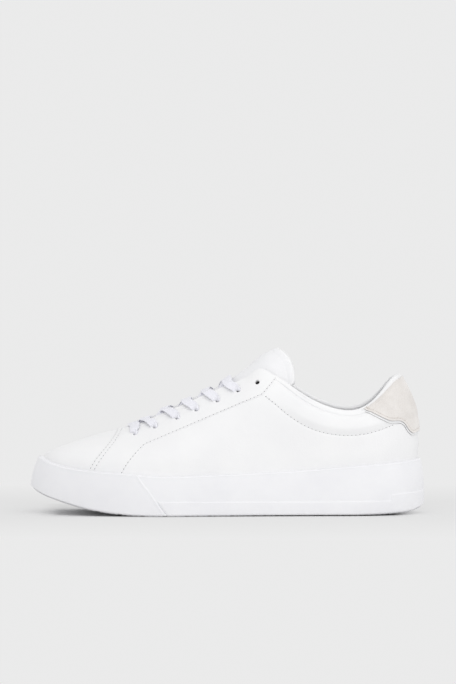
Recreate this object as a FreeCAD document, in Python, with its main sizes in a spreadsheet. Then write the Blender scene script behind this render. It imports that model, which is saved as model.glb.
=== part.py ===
"""Left low-top court shoe with a moulded cupsole, as an assembly of its real pieces.

Millimetres, +Z up, toe towards -X, lateral (outer) side towards -Y.
The origin is on the ground under the middle of the sole.
"""

import FreeCAD, Part
import math
import os
from FreeCAD import Vector

doc = FreeCAD.newDocument("CourtShoe")

# ---------------------------------------------------------------- driving dimensions

DIMENSIONS = [
    ("SoleLength", 300.0, "overall length of the cupsole"),
    ("ToeLean", 9.9, "how far the rim lies inside the sole's length at the toe"),
    ("HeelLean", 4.4, "the same at the heel"),
    ("RimInset", 2.0, "how far the rim lies inside the sole's width at the sides"),
    ("TreadInset", 1.5, "how far the tread lies inside the sole's widest outline"),
    ("WidestHeight", 22.0, "height of the sole's widest outline"),
    ("BlockHeight", 50.0, "height of the block that the cup is cut from"),
    ("PrismWidth", 160.0, "width of the side-view prisms, more than the shoe's"),
    ("CupGap", 0.5, "room for cement between the upper and the cup wall"),
    ("GrooveWidth", 3.0, "width of a tread groove"),
    ("GrooveDepth", 2.0, "depth of a tread groove"),
    ("GroovePitch", 17.0, "distance between tread grooves"),
    ("GrooveCount", 13.0, "number of tread grooves"),
    ("FirstGroove", -100.0, "where the first tread groove starts, from the origin"),
    ("Leather", 1.4, "thickness of the upper leather"),
    ("Board", 2.0, "thickness of the insole board"),
    ("Footbed", 4.0, "thickness of the removable sockliner"),
    ("LiningDepth", 2.5, "depth of the lining's outer face under the leather's"),
    ("Lining", 1.0, "thickness of the lining"),
    ("Counter", 0.9, "thickness of the heel counter"),
    ("Puff", 0.6, "thickness of the toe puff"),
    ("Gap", 0.1, "cement between layers of the upper"),
    ("Clearance", 0.35, "room beside a piece that moves"),
    ("CollarPad", 4.6, "greatest thickness of the collar foam"),
    ("HoleRadius", 1.8, "radius of a punched lace hole"),
    ("EyeletRadius", 4.0, "outer radius of a blind eyelet"),
    ("EyeletDepth", 0.6, "thickness of a blind eyelet"),
    ("PunchLength", 24.0, "length of the lace hole punch"),
    ("LaceWidth", 8.0, "width of the flat lace"),
    ("LaceGathered", 3.2, "width of the lace where it is drawn through a hole"),
    ("LaceThick", 1.1, "thickness of the flat lace"),
    ("LaceLean", 7.0, "how far a lace comes over the throat's edge ahead of its hole"),
    ("LaceArch", 0.6, "height of a taut lace's middle over the throat's edges"),
    ("AgletRadius", 1.5, "radius of an aglet"),
    ("AgletLength", 20.0, "length of an aglet"),
]

sheet = doc.addObject("Spreadsheet::Sheet", "Dimensions")
for row, (alias, value, meaning) in enumerate(DIMENSIONS, start=1):
    sheet.set(f"A{row}", meaning)
    sheet.set(f"B{row}", str(value))
    sheet.setAlias(f"B{row}", alias)
doc.recompute()


def dim(alias):
    """A driving dimension's value, for shapes that are worked out in code."""
    return float(sheet.get(alias))


HALF_LENGTH = dim("SoleLength") / 2

# ---------------------------------------------------------------- the last
# Fifteen ribs run round one half of the upper, from the toe's centre to the heel's centre.
# A rib has five points (x, half breadth, z): feather edge, rim, wall, shoulder and top edge.

RIBS = [
    ((-136, 0, 26), (-140.5, 0, 42), (-128, 0, 50.4), (-103, 0, 59.2), (-70, 0, 67.6)),
    ((-133, 13, 25.5), (-138, 13, 41.2), (-126.5, 11, 49.8), (-102, 7, 58.7), (-69.5, 4.5, 67.5)),
    ((-123, 25.5, 24), (-128.5, 27, 39.2), (-119.5, 22.5, 49), (-98, 14.5, 57.5), (-67.5, 8, 68.4)),
    ((-103, 35.5, 23), (-107, 38.6, 36.5), (-102.5, 33.8, 47.2), (-89.5, 22, 57.4), (-61.5, 11, 71)),
    ((-78, 41.5, 22), (-80, 45.3, 33), (-79, 41, 46), (-73, 28.5, 59.5), (-48.5, 13.5, 77.2)),
    ((-50, 43, 21.5), (-50, 47.3, 32), (-50, 44.5, 48), (-46, 32, 65), (-27.5, 15, 86.6)),
    ((-20, 40.5, 22), (-20, 45, 33), (-20, 42.5, 52), (-17, 32, 74), (-3, 17, 97.6)),
    ((8, 37.5, 23), (8, 41.5, 34), (8, 39.5, 56), (9, 31.5, 84), (16, 19, 106)),
    ((32, 35.5, 24), (32, 39, 35.5), (32, 38, 58), (31, 33, 88), (28.5, 22.5, 110.8)),
    ((55, 34.8, 25), (55, 38.3, 37), (55, 38, 55), (55, 35.5, 75), (55, 29.5, 93.5)),
    ((78, 34.8, 26), (78, 38.3, 39), (78, 38, 52), (78, 36.3, 68), (78, 31.8, 82)),
    ((100, 34.5, 27), (100, 38, 40.5), (100, 38, 53), (100, 36, 67), (98, 31, 80)),
    ((120, 30, 28), (122, 33, 42), (122, 33, 56), (119, 30.5, 72), (114, 25.5, 89.5)),
    ((135.5, 18, 28.5), (139.2, 18.6, 43), (139.1, 18.6, 58), (135.6, 17.5, 78), (126, 14.5, 102.5)),
    ((141.5, 0, 28.5), (145.4, 0, 43.5), (145.3, 0, 60), (141.9, 0, 81.5), (131.2, 0, 105.3)),
]
HEEL_RIB = len(RIBS) - 1
TOP_ROW = len(RIBS[0]) - 1

# The last bends sideways: its centre line is medial at the toe and lateral at the waist.
BEND_STEP = 25.0
BEND = [9.9, 6.5, 3.1, 0.8, -0.2, -0.8, -1.1, -0.6, 0.3, 1.1, 1.7, 1.9, 1.9]


def bows(values, closed):
    """Second differences of the cubic spline through evenly spaced values, by relaxation."""
    count = len(values)
    found = [0.0] * count
    for _ in range(60):
        for i in range(count):
            if closed or 0 < i < count - 1:
                bow = values[i - 1] - 2 * values[i] + values[(i + 1) % count]
                found[i] = (6 * bow - found[i - 1] - found[(i + 1) % count]) / 4
    return found


def spline(values, found, place, closed):
    """The cubic spline's value at a place counted in steps from the first value."""
    count = len(values)
    i = math.floor(place)
    if not closed:
        i = min(max(i, 0), count - 2)
    f = place - i
    g = 1 - f
    i, j = i % count, (i + 1) % count
    return (g * values[i] + f * values[j]
            + ((g ** 3 - g) * found[i] + (f ** 3 - f) * found[j]) / 6)


BEND_BOWS = bows(BEND, False)


def bend(x):
    """Sideways shift of the shoe's centre line at x."""
    place = (min(max(x, -HALF_LENGTH), HALF_LENGTH) + HALF_LENGTH) / BEND_STEP
    return spline(BEND, BEND_BOWS, place, False)


def rib_ring():
    """The ribs all round: lateral from toe to heel, then medial back to the toe."""
    ring = []
    for i in range(2 * HEEL_RIB):
        side = -1 if i <= HEEL_RIB else 1
        rib = RIBS[i if i <= HEEL_RIB else 2 * HEEL_RIB - i]
        ring.append([(x, side * y, z) for x, y, z in rib])
    return ring


RING = rib_ring()
RAILS = [[[rib[row][c] for rib in RING] for c in range(3)] for row in range(TOP_ROW + 1)]
RAIL_BOWS = [[bows(values, True) for values in rail] for rail in RAILS]


def upper_point(t, v):
    """Outer face of the upper: t counts ribs from the toe, v runs from feather to top edge."""
    place = []
    for c in range(3):
        column = [spline(RAILS[r][c], RAIL_BOWS[r][c], t, True) for r in range(TOP_ROW + 1)]
        place.append(spline(column, bows(column, False), v * TOP_ROW, False))
    return Vector(place[0], place[1] + bend(place[0]), place[2])


def upper_normal(t, v):
    """Outward unit normal of the upper's outer face."""
    step = 1e-3
    along = upper_point(t + step, v) - upper_point(t - step, v)
    up = upper_point(t, min(v + step, 1)) - upper_point(t, max(v - step, 0))
    return along.cross(up).normalize()


def under(t, v, depth):
    """The point at a depth under the upper's outer face."""
    return upper_point(t, v) - upper_normal(t, v) * depth


def smooth(low, high, x):
    """0 below low, 1 above high, and a smooth step between them."""
    f = min(max((x - low) / (high - low), 0), 1)
    return f * f * (3 - 2 * f)


def pad(t, v):
    """Thickness of the collar foam at a place on the upper."""
    t = abs(t)
    return dim("CollarPad") * smooth(8.4, 10.2, t) * smooth(0.56, 0.74, v) * (1 - smooth(0.86, 1.0, v))


# ---------------------------------------------------------------- helpers for solids


def side_faces(outer, inner):
    """Ruled faces that join the borders of two surfaces over the same grid."""
    u0, u1, v0, v1 = outer.bounds()
    a0, a1, b0, b1 = inner.bounds()
    pairs = [(outer.uIso(u0), inner.uIso(a0)), (outer.uIso(u1), inner.uIso(a1)),
             (outer.vIso(v0), inner.vIso(b0)), (outer.vIso(v1), inner.vIso(b1))]
    return [Part.makeRuledSurface(a.toShape(), b.toShape()) for a, b in pairs]


def sheet_solid(outer_rows, inner_rows):
    """A closed solid between two grids of points."""
    surfaces = []
    for rows in (outer_rows, inner_rows):
        surface = Part.BSplineSurface()
        surface.interpolate(rows)
        surfaces.append(surface)
    faces = [s.toShape() for s in surfaces] + side_faces(*surfaces)
    shell = Part.makeShell(faces)
    shell.sewShape()
    solid = Part.Solid(Part.Shell(shell.Faces))
    if solid.Volume < 0:
        solid.reverse()
    return solid


def span(low, high, count):
    """Evenly spaced values from low to high, both included."""
    return [low + (high - low) * i / (count - 1) for i in range(count)]


def feature(name, shape):
    """A Part::Feature that holds a shape worked out in code."""
    item = doc.addObject("Part::Feature", name)
    item.Label = name
    item.Shape = shape
    item.Placement = FreeCAD.Placement()
    return item


def shell_between(name, t_range, v_range, outer, inner, rows=(85, 13)):
    """A layer of the upper between two depths, each a number or a function of t and v."""
    def depth(d, t, v):
        return d(t, v) if callable(d) else d
    ts, vs = span(*t_range, rows[0]), span(*v_range, rows[1])
    grids = [[[under(t, v, depth(d, t, v)) for v in vs] for t in ts] for d in (outer, inner)]
    return feature(name, sheet_solid(*grids))


def curve(points, closed=False):
    """A B-spline curve through points."""
    made = Part.BSplineCurve()
    made.interpolate(points, PeriodicFlag=closed)
    return made


def outline(half, x_back=0.0, x_front=0.0, inset=0.0):
    """The closed plan outline of a half-breadth list, moved in by an inset."""
    low, high = half[0][0], half[-1][0]

    def placed(x, y, side):
        f = (x - low) / (high - low)
        moved = x + (x_front + inset) * (1 - f) ** 3 - (x_back + inset) * f ** 3
        return Vector(moved, side * max(y - inset, 0) + bend(moved), 0)
    lateral = [placed(x, y, -1) for x, y in half]
    medial = [placed(x, y, 1) for x, y in half[-2:0:-1]]
    return lateral + medial


def plan_sketch(name, points):
    """A sketch of a closed outline in plan."""
    sketch = doc.addObject("Sketcher::SketchObject", name)
    sketch.addGeometry(curve(points, closed=True), False)
    return sketch


def side_sketch(name, *pieces):
    """A closed sketch in the side view (x, z), from runs of points: one point is a corner."""
    sketch = doc.addObject("Sketcher::SketchObject", name)
    sketch.Placement = FreeCAD.Placement(Vector(), FreeCAD.Rotation(Vector(1, 0, 0), 90))
    ends = []
    for run in pieces:
        points = [Vector(x, z, 0) for x, z in run]
        if len(points) > 2:
            sketch.addGeometry(curve(points), False)
        elif len(points) == 2:
            sketch.addGeometry(Part.LineSegment(*points), False)
        ends.append((points[0], points[-1]))
    for (_, tail), (head, _) in zip(ends, ends[1:] + ends[:1]):
        if (tail - head).Length > 1e-6:
            sketch.addGeometry(Part.LineSegment(tail, head), False)
    return sketch


def prism(name, sketch, length, symmetric=False, along=Vector(0, 0, 1)):
    """A Part::Extrusion of a sketch, its length bound to the sheet."""
    item = doc.addObject("Part::Extrusion", name)
    item.Base = sketch
    item.DirMode = "Custom"
    item.Dir = along
    item.Solid = True
    item.Symmetric = symmetric
    item.setExpression("LengthFwd", length)
    return item


def side_prism(name, *pieces):
    """A prism across the whole shoe with a side-view outline."""
    return prism(name, side_sketch(name + "Sketch", *pieces), "Dimensions.PrismWidth",
                 symmetric=True, along=Vector(0, 1, 0))


def combine(kind, name, base, tool):
    """Part::Cut or Part::Common of two objects."""
    item = doc.addObject("Part::" + kind, name)
    item.Label = name
    item.Base = base
    item.Tool = tool
    return item


def fuse(name, items):
    """Part::MultiFuse of several objects."""
    item = doc.addObject("Part::MultiFuse", name)
    item.Label = name
    item.Shapes = items
    return item


# ---------------------------------------------------------------- sole outlines and lines

SOLE_HALF = [(-150, 0), (-148, 12.5), (-141, 25.5), (-127, 37), (-106, 46), (-80, 51.2), (-55, 52.7),
             (-30, 50), (0, 45.6), (30, 43.2), (60, 42.4), (90, 42), (115, 39), (132, 32),
             (144, 18.5), (150, 0)]
CUP_HALF = [(rib[1][0], rib[1][1]) for rib in RIBS]
FEATHER_HALF = [(rib[0][0], rib[0][1]) for rib in RIBS]

TOE_SPRING = [(-162, 30), (-148, 18.3), (-140, 14.2), (-130.5, 11), (-111, 5.6), (-88, 1.8),
              (-68.5, 0.4), (-50, 0)]
HEEL_SPRING = [(95, 0), (112, 0.5), (128, 1.8), (140, 3.9), (148, 8), (155, 14), (162, 22)]
RIM_LINE = [(-162, 51), (-147, 44.2), (-142.9, 42.5), (-138, 40.2), (-131, 38.1), (-122, 36.3),
            (-108.6, 34.7), (-94.8, 33.6), (-81, 32.9), (-66.6, 31.6), (-51, 30.6), (-20.8, 31.2),
            (2, 32), (28.8, 33.2), (55.5, 34.6), (83, 36.8), (108.9, 38.8), (131.7, 40.4),
            (147.3, 41.9), (162, 43.5)]
CUP_FLOOR = [(-155, 28), (-140, 20.5), (-130, 16.5), (-111, 10.8), (-88, 7.5), (-60, 6.2),
             (-30, 6), (40, 6), (90, 6), (120, 6.5), (155, 8)]
# The feather line, which is also the top of the insole board.
FEATHER_LINE = [(rib[0][0], rib[0][2]) for rib in RIBS if rib[0][0] < 142]
FEATHER_LINE = [(-155, 28)] + FEATHER_LINE + [(155, 28.8)]


def raised(line, height):
    """A side-view line moved up."""
    return [(x, z + height) for x, z in line]


def between(name, high, *low):
    """A side-view prism between an upper line and the runs of a lower one."""
    return side_prism(name, *low, list(reversed(high)))


# ---------------------------------------------------------------- sole unit


def sole_block():
    """The cup's outer block: a loft from the tread's outline to the rim's."""
    body = doc.addObject("PartDesign::Body", "SoleBlock")
    plane = next(o for o in body.Origin.OriginFeatures if o.Role == "XY_Plane")
    rim = outline(SOLE_HALF, dim("HeelLean") - dim("RimInset"), dim("ToeLean") - dim("RimInset"),
                  dim("RimInset"))
    levels = [("TreadOutline", outline(SOLE_HALF, inset=dim("TreadInset")), None),
              ("WidestOutline", outline(SOLE_HALF), "Dimensions.WidestHeight"),
              ("RimOutline", rim, "Dimensions.BlockHeight")]
    sketches = []
    for name, points, height in levels:
        sketch = body.newObject("Sketcher::SketchObject", name)
        sketch.AttachmentSupport = (plane, [""])
        sketch.MapMode = "FlatFace"
        sketch.addGeometry(curve(points, closed=True), False)
        if height is not None:
            sketch.setExpression("AttachmentOffset.Base.z", height)
        sketches.append(sketch)
    loft = body.newObject("PartDesign::AdditiveLoft", "SoleLoft")
    loft.Profile = sketches[0]
    loft.Sections = sketches[1:]
    loft.Ruled = False
    doc.recompute()
    return body


def plan_prism(name, points):
    """A prism over the whole height of the sole block."""
    return prism(name, plan_sketch(name + "Sketch", points), "Dimensions.BlockHeight")


def tread_grooves():
    """Transverse grooves across the flat of the tread, one box each."""
    boxes = []
    for i in range(int(dim("GrooveCount"))):
        x = dim("FirstGroove") + i * dim("GroovePitch")
        toe_rise = 6 * smooth(60, 110, -x)
        box = doc.addObject("Part::Box", f"Groove{i + 1}")
        box.setExpression("Length", "Dimensions.GrooveWidth")
        box.setExpression("Width", "Dimensions.PrismWidth")
        box.Height = 2 * dim("GrooveDepth") + toe_rise
        box.Placement.Base = Vector(x, -dim("PrismWidth") / 2, -dim("GrooveDepth"))
        boxes.append(box)
    return fuse("TreadGrooves", boxes)


def sole_unit():
    """Cupsole, foam insert, insole board and sockliner."""
    shape = between("CupSide", RIM_LINE, TOE_SPRING, HEEL_SPRING)
    outside = combine("Common", "CupOutside", sole_block(), shape)
    hollow_plan = plan_prism("CupHollowPlan", outline(CUP_HALF, inset=-dim("CupGap")))
    hollow_side = between("CupHollowSide", [(-155, 70), (155, 70)], CUP_FLOOR)
    hollow = combine("Common", "CupHollow", hollow_plan, hollow_side)
    cup = combine("Cut", "CupBlank", outside, hollow)
    combine("Cut", "cupsole", cup, tread_grooves())

    board_top = raised(FEATHER_LINE, -dim("Gap"))
    board_under = raised(board_top, -dim("Board"))
    insert_plan = plan_prism("InsertPlan", outline(CUP_HALF, inset=dim("CupGap")))
    insert_side = between("InsertSide", board_under, CUP_FLOOR)
    combine("Common", "midsole_insert", insert_plan, insert_side)

    board_plan = plan_prism("BoardPlan", outline(FEATHER_HALF))
    board_side = between("BoardSide", board_top, board_under)
    combine("Common", "insole_board", board_plan, board_side)

    liner_inset = dim("LiningDepth") + dim("Lining") + 4 * dim("Clearance")
    liner_plan = plan_prism("SocklinerPlan", outline(FEATHER_HALF, inset=liner_inset))
    liner_under = raised(board_top, dim("Clearance"))
    liner_side = between("SocklinerSide", raised(liner_under, dim("Footbed")), liner_under)
    combine("Common", "sockliner", liner_plan, liner_side)


# ---------------------------------------------------------------- side-view seams

VAMP_SEAM = [(-110.8, 0), (-108.8, 20), (-105.3, 36), (-95.5, 49.5), (-87.8, 58.5), (-84.3, 65),
             (-82, 80)]
STAY_FRONT = [(-86, 10), (-83.5, 24), (-79, 35.6), (-63.2, 54.7)]
STAY_LOW = [(-63.2, 54.7), (26.8, 92.8)]
STAY_BACK = [(26.8, 92.8), (42.9, 112)]
COLLAR_SEAM = [(26.8, 92.8), (38, 83.6), (54.3, 71.3), (70.7, 64.2), (87, 61.5), (105.4, 62.5),
               (127.9, 69.3), (160, 78)]
TAB_LOW = [(100.5, 80.8), (104.3, 78.9), (116.5, 71.8), (124.1, 68.6), (130.2, 68.2), (135.5, 65.1),
           (139.4, 60.4), (143, 58.8), (160, 58.8)]

EYELETS = [(4.0, 0.792), (4.52, 0.826), (5.06, 0.856), (5.55, 0.872), (6.13, 0.881), (6.78, 0.895),
           (7.62, 0.883)]


def eyelet_axes(side):
    """Surface point and outward normal of each lace hole; side -1 is lateral, 1 is medial."""
    return [(upper_point(-side * t, v), upper_normal(-side * t, v)) for t, v in EYELETS]


def cylinder(name, radius, length, base, axis):
    """A Part::Cylinder bound to the sheet, standing on a point along an axis."""
    item = doc.addObject("Part::Cylinder", name)
    item.setExpression("Radius", radius)
    item.setExpression("Height", length)
    item.Placement = FreeCAD.Placement(base, FreeCAD.Rotation(Vector(0, 0, 1), axis))
    return item


def lace_punches():
    """The fourteen punches that make the lace holes."""
    half = dim("PunchLength") / 2
    punches = []
    for side, word in ((-1, "Lateral"), (1, "Medial")):
        for k, (point, normal) in enumerate(eyelet_axes(side), start=1):
            punches.append(cylinder(f"Punch{word}{k}", "Dimensions.HoleRadius",
                                    "Dimensions.PunchLength", point - normal * half, normal))
    return fuse("LacePunches", punches)


def blind_eyelets(side, name):
    """Seven metal rings behind the stay, one under each lace hole."""
    rings = []
    depth = dim("Leather") + 0.1 + dim("EyeletDepth")
    for k, (point, normal) in enumerate(eyelet_axes(side), start=1):
        base = point - normal * depth
        disc = cylinder(f"{name}Disc{k}", "Dimensions.EyeletRadius", "Dimensions.EyeletDepth", base, normal)
        hole = cylinder(f"{name}Hole{k}", "Dimensions.HoleRadius", "Dimensions.PunchLength",
                        point - normal * dim("PunchLength") / 2, normal)
        rings.append(combine("Cut", f"{name}Ring{k}", disc, hole))
    group = doc.addObject("Part::Compound", name)
    group.Label = name
    group.Links = rings
    return group


# ---------------------------------------------------------------- upper

BINDING_START = 0.955
BACK_SEAM_GAP = 0.02
SIDES = [(-1, "lateral"), (1, "medial")]


def rib_range(side, low, high):
    """The rib counts from low to high on one side, in rising order."""
    return (low, high) if side < 0 else (-high, -low)


def panels(punches):
    """The outer leather: toe vamp, U-shaped eyestay and two quarters."""
    leather = dim("Leather")
    vamp_prism = side_prism("VampPrism", VAMP_SEAM, [(-170, 80)], [(-170, 0)])
    stay_prism = side_prism("StayPrism", [(-125, 0), (-86, 0)], STAY_FRONT, STAY_LOW, STAY_BACK,
                            [(42.9, 150)], [(-125, 150)])
    quarter_prism = side_prism("QuarterPrism", [(-86, 0)], STAY_FRONT, STAY_LOW, STAY_BACK,
                               [(42.9, 150)], [(170, 150)], [(170, 0)])
    front = shell_between("LeatherFront", (-9.5, 9.5), (0.0, 1.0), 0.0, leather, (77, 17))
    combine("Common", "vamp", front, vamp_prism)
    stay_shell = combine("Common", "StayShell", front, stay_prism)
    stay = combine("Cut", "StayBlank", stay_shell, vamp_prism)
    combine("Cut", "eyestay", stay, punches)
    for side, word in SIDES:
        shell = shell_between(f"LeatherBack{word}", rib_range(side, 3.2, HEEL_RIB - BACK_SEAM_GAP),
                              (0.0, BINDING_START), 0.0, leather, (45, 17))
        combine("Common", f"quarter_{word}", shell, quarter_prism)


def stiffeners():
    """Reinforcement behind the stay, blind eyelets, toe puff and heel counter."""
    first = dim("Leather") + dim("Gap")
    inner_stay = side_prism("InnerStayPrism", [(-62.5, 57.5), (24, 94.2)], [(35, 114)], [(35, 150)],
                            [(-66, 150)])
    for side, word in SIDES:
        shell = shell_between(f"ReinforcementShell{word}", rib_range(side, 3.6, 9), (0.55, 0.985),
                              first, first + dim("EyeletDepth"), (23, 9))
        half = combine("Common", f"ReinforcementTrimmed{word}", shell, inner_stay)
        blind_eyelets(side, f"blind_eyelets_{word}")
        room = [cylinder(f"EyeletRoom{word}{k}", "Dimensions.EyeletRadius", "Dimensions.PunchLength",
                         point - normal * dim("PunchLength") / 2, normal)
                for k, (point, normal) in enumerate(eyelet_axes(side), start=1)]
        combine("Cut", f"eyestay_reinforcement_{word}", half, fuse(f"EyeletRoom{word}", room))

    toe_prism = side_prism("ToePrism", [(-170, 20), (-112, 20)], [(-104, 80)], [(-170, 80)])
    puff = shell_between("ToePuffShell", (-3.6, 3.6), (0.17, 0.8), first, first + dim("Puff"), (41, 15))
    combine("Common", "toe_puff", puff, toe_prism)

    heel_prism = side_prism("CounterPrism", [(84, 20), (170, 20)], [(170, 66)], [(118, 62), (84, 36)])
    counter = shell_between("CounterShell", (9.6, 2 * HEEL_RIB - 9.6), (0.04, 0.58), first,
                            first + dim("Counter"), (37, 11))
    combine("Common", "heel_counter", counter, heel_prism)


def foam_thickness(t, v):
    """Thickness of the collar foam, thin at its edges, with t counted right round the heel."""
    folded = t if t <= HEEL_RIB else 2 * HEEL_RIB - t
    edge = 0.25
    spare = dim("LiningDepth") - dim("Leather") - 5 * dim("Gap") - edge
    return edge + pad(folded, v) + spare * smooth(0.59, 0.66, v) * (1 - smooth(0.92, 0.97, v))


def linings(punches):
    """Collar foam, lining and the rolled binding on the top edge."""
    first = dim("Leather") + dim("Gap")

    def foam_inner(t, v):
        return first + foam_thickness(t, v)

    def lining_outer(t, v):
        return dim("LiningDepth") + pad(t, v)

    def lining_inner(t, v):
        return lining_outer(t, v) + dim("Lining")

    shell_between("collar_foam", (8.75, 2 * HEEL_RIB - 8.75), (0.62, 0.945), first, foam_inner, (49, 13))
    seam = [(-62, 0), (-60, 40), (-54, 62), (-46, 90)]
    front_prism = side_prism("FrontLiningPrism", seam, [(-170, 90)], [(-170, 0)])
    front = shell_between("LiningFront", (-6, 6), (0.0, BINDING_START), lining_outer, lining_inner, (49, 17))
    front_punched = combine("Cut", "LiningFrontPunched", front, punches)
    combine("Common", "vamp_lining", front_punched, front_prism)
    for side, word in SIDES:
        shell = shell_between(f"LiningBack{word}", rib_range(side, 4, HEEL_RIB - BACK_SEAM_GAP),
                              (0.0, BINDING_START), lining_outer, lining_inner, (41, 29))
        punched = combine("Cut", f"LiningBackPunched{word}", shell, punches)
        combine("Cut", f"quarter_lining_{word}", punched, front_prism)
    shell_between("collar_binding", (8.6, 2 * HEEL_RIB - 8.6), (BINDING_START + 0.002, 1.0), -0.2,
                  dim("LiningDepth") + dim("Lining") + 0.4, (49, 5))


def heel_trim():
    """The heel tab and the wider underlay that shows below it."""
    tab_prism = side_prism("TabPrism", TAB_LOW, [(160, 140)], [(103, 140)])
    inner_prism = side_prism("InnerTabPrism", raised(TAB_LOW, 1.3), [(160, 140)], [(103, 140)])
    around, rise, rows = (11.1, 2 * HEEL_RIB - 11.1), (0.48, 0.95), (37, 13)
    underlay = shell_between("UnderlayShell", around, rise, -0.7, -0.05, rows)
    combine("Common", "heel_tab_underlay", underlay, tab_prism)
    tab = shell_between("TabShell", around, rise, -1.7, -0.75, rows)
    combine("Common", "heel_tab", tab, inner_prism)


# ---------------------------------------------------------------- tongue
# Half ribs of the tongue's top face, from its sewn end to its free end: centre, middle and edge.

TONGUE_RIBS = [
    ((-84, 0, 57.6), (-84, 8.5, 56.6), (-84, 17, 53)),
    ((-62, 0, 66.2), (-62.5, 9.5, 65.0), (-63, 18.5, 60)),
    ((-38, 0, 77.8), (-37, 13, 74.8), (-38, 23.5, 65.5)),
    ((-8, 0, 95.0), (-8, 15, 88.4), (-9, 25.5, 74.6)),
    ((12, 0, 109.2), (13, 17, 98.8), (14, 26.8, 80.3)),
    ((28, 0, 121.5), (31, 16.5, 112.2), (36, 23.5, 89.5)),
    ((38.5, 0, 127.2), (47, 13, 120.2), (55, 20, 103.5)),
]
TONGUE_LAYERS = [("tongue_outer", 0.0, 1.2), ("tongue_foam", 1.25, 5.6), ("tongue_lining", 5.65, 6.5)]


def tongue_point(s, w):
    """Top face of the tongue: s counts ribs from the sewn end, w runs from -1 to 1 across it."""
    place = []
    for c in range(3):
        values = []
        for part, side in ((2, -1), (1, -1), (0, 1), (1, 1), (2, 1)):
            column = [rib[part][c] * (side if c == 1 else 1) for rib in TONGUE_RIBS]
            values.append(spline(column, bows(column, False), s, False))
        place.append(spline(values, bows(values, False), (w + 1) * 2, False))
    return Vector(place[0], place[1] + bend(place[0]), place[2])


def under_tongue(s, w, depth):
    """The point at a depth under the tongue's top face."""
    step = 1e-3
    top = len(TONGUE_RIBS) - 1
    along = tongue_point(min(s + step, top), w) - tongue_point(max(s - step, 0), w)
    across = tongue_point(s, min(w + step, 1)) - tongue_point(s, max(w - step, -1))
    return tongue_point(s, w) - along.cross(across).normalize() * depth


def tongue():
    """Leather face, foam and lining of the tongue, one closed sheet each."""
    top = len(TONGUE_RIBS) - 1
    for name, outer, inner in TONGUE_LAYERS:
        grids = [[[under_tongue(s, w, depth) for w in span(-1, 1, 9)] for s in span(0, top, 25)]
                 for depth in (outer, inner)]
        feature(name, sheet_solid(*grids))


# ---------------------------------------------------------------- lace
# One flat lace: a bar across the first pair of holes, then each end passes inside, crosses the
# tongue from under the stay and goes down into the next hole of the other side. Both ends
# run down the lining and are tucked in.

LACED = 6
HERMITE_STEPS = 4
STAY_ROOM = 0.5
# Where the lace lies on the stay, as parts of the way from the throat's edge to the hole.
LACE_STOPS = (0.03, 0.5)
# How much of the lean is gone at the hole, and how far before the hole's centre the lace narrows.
LEAN_LOSS = 0.76
MOUTH_REACH = 3.0
# The first bar crosses on the leather in front of the throat: its stops, lean and middle's place.
BAR_STOPS = (0.3, 0.65)
BAR_LEAN = 0.0
BAR_PLACE = 0.985
# Where the lace passes over the tongue: how far ahead of its hole, the place across the tongue,
# the room above the tongue beyond the clearance, and the part of its full width.
TONGUE_STOPS = ((1.5, 0.8, 1.1, 0.8), (2.2, 0.6, 0.6, 1.0), (4.2, 0.3, 0.3, 1.0))
CROSSING_MIDDLE = 6.3
LOWER_LIFT, UPPER_LIFT = 0.0, 1.6


def strap_solid(frames):
    """A flat strap through frames (centre, across, up, width), as a solid with plane facets."""
    loops = []
    for centre, across, up, width in frames:
        a, u = across * (width / 2), up * (dim("LaceThick") / 2)
        loops.append([centre - a - u, centre + a - u, centre + a + u, centre - a + u])
    faces = []

    def triangle(*corners):
        faces.append(Part.Face(Part.makePolygon([*corners, corners[0]])))
    for first, second in zip(loops, loops[1:]):
        for k in range(4):
            n = (k + 1) % 4
            triangle(first[k], first[n], second[n])
            triangle(first[k], second[n], second[k])
    for loop in (loops[0], loops[-1]):
        triangle(loop[0], loop[1], loop[2])
        triangle(loop[0], loop[2], loop[3])
    shell = Part.makeShell(faces)
    shell.sewShape()
    solid = Part.Solid(Part.Shell(shell.Faces))
    if solid.Volume < 0:
        solid.reverse()
    return solid


def strap_frames(stations):
    """Frames along a smooth curve through stations (point, up, width)."""
    points = [p for p, _, _ in stations]
    heads = []
    for i in range(len(points)):
        back = points[i] - points[max(i - 1, 0)]
        ahead = points[min(i + 1, len(points) - 1)] - points[i]
        sum_of = Vector()
        for part in (back, ahead):
            if part.Length > 0:
                sum_of += part / part.Length
        heads.append(sum_of.normalize())
    frames = []
    for i in range(len(stations) - 1):
        (p0, u0, w0), (p1, u1, w1) = stations[i], stations[i + 1]
        reach = (p1 - p0).Length
        last = i == len(stations) - 2
        for step in range(HERMITE_STEPS + (1 if last else 0)):
            f = step / HERMITE_STEPS
            g = 1 - f
            point = (p0 * (g * g * (1 + 2 * f)) + p1 * (f * f * (1 + 2 * g))
                     + heads[i] * (reach * f * g * g) - heads[i + 1] * (reach * f * f * g))
            ahead = ((p1 - p0) * (6 * f * g) + heads[i] * (reach * g * (1 - 3 * f))
                     + heads[i + 1] * (reach * f * (3 * f - 2)))
            across = ahead.cross(u0 * g + u1 * f).normalize()
            up = across.cross(ahead).normalize()
            frames.append((point, across, up, w0 * g + w1 * f))
    return frames


def tongue_place(x):
    """The tongue's rib count where its centre line passes x."""
    xs = [rib[0][0] for rib in TONGUE_RIBS]
    for i in range(len(xs) - 1):
        if x <= xs[i + 1]:
            return i + (x - xs[i]) / (xs[i + 1] - xs[i])
    return len(xs) - 1


def hole_frame(k, side):
    """A lace hole's centre, outward normal and the direction away from the throat."""
    t, v = EYELETS[k]
    away = (upper_point(-side * t, v - 0.03) - upper_point(-side * t, v + 0.03)).normalize()
    return upper_point(-side * t, v), upper_normal(-side * t, v), away


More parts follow.
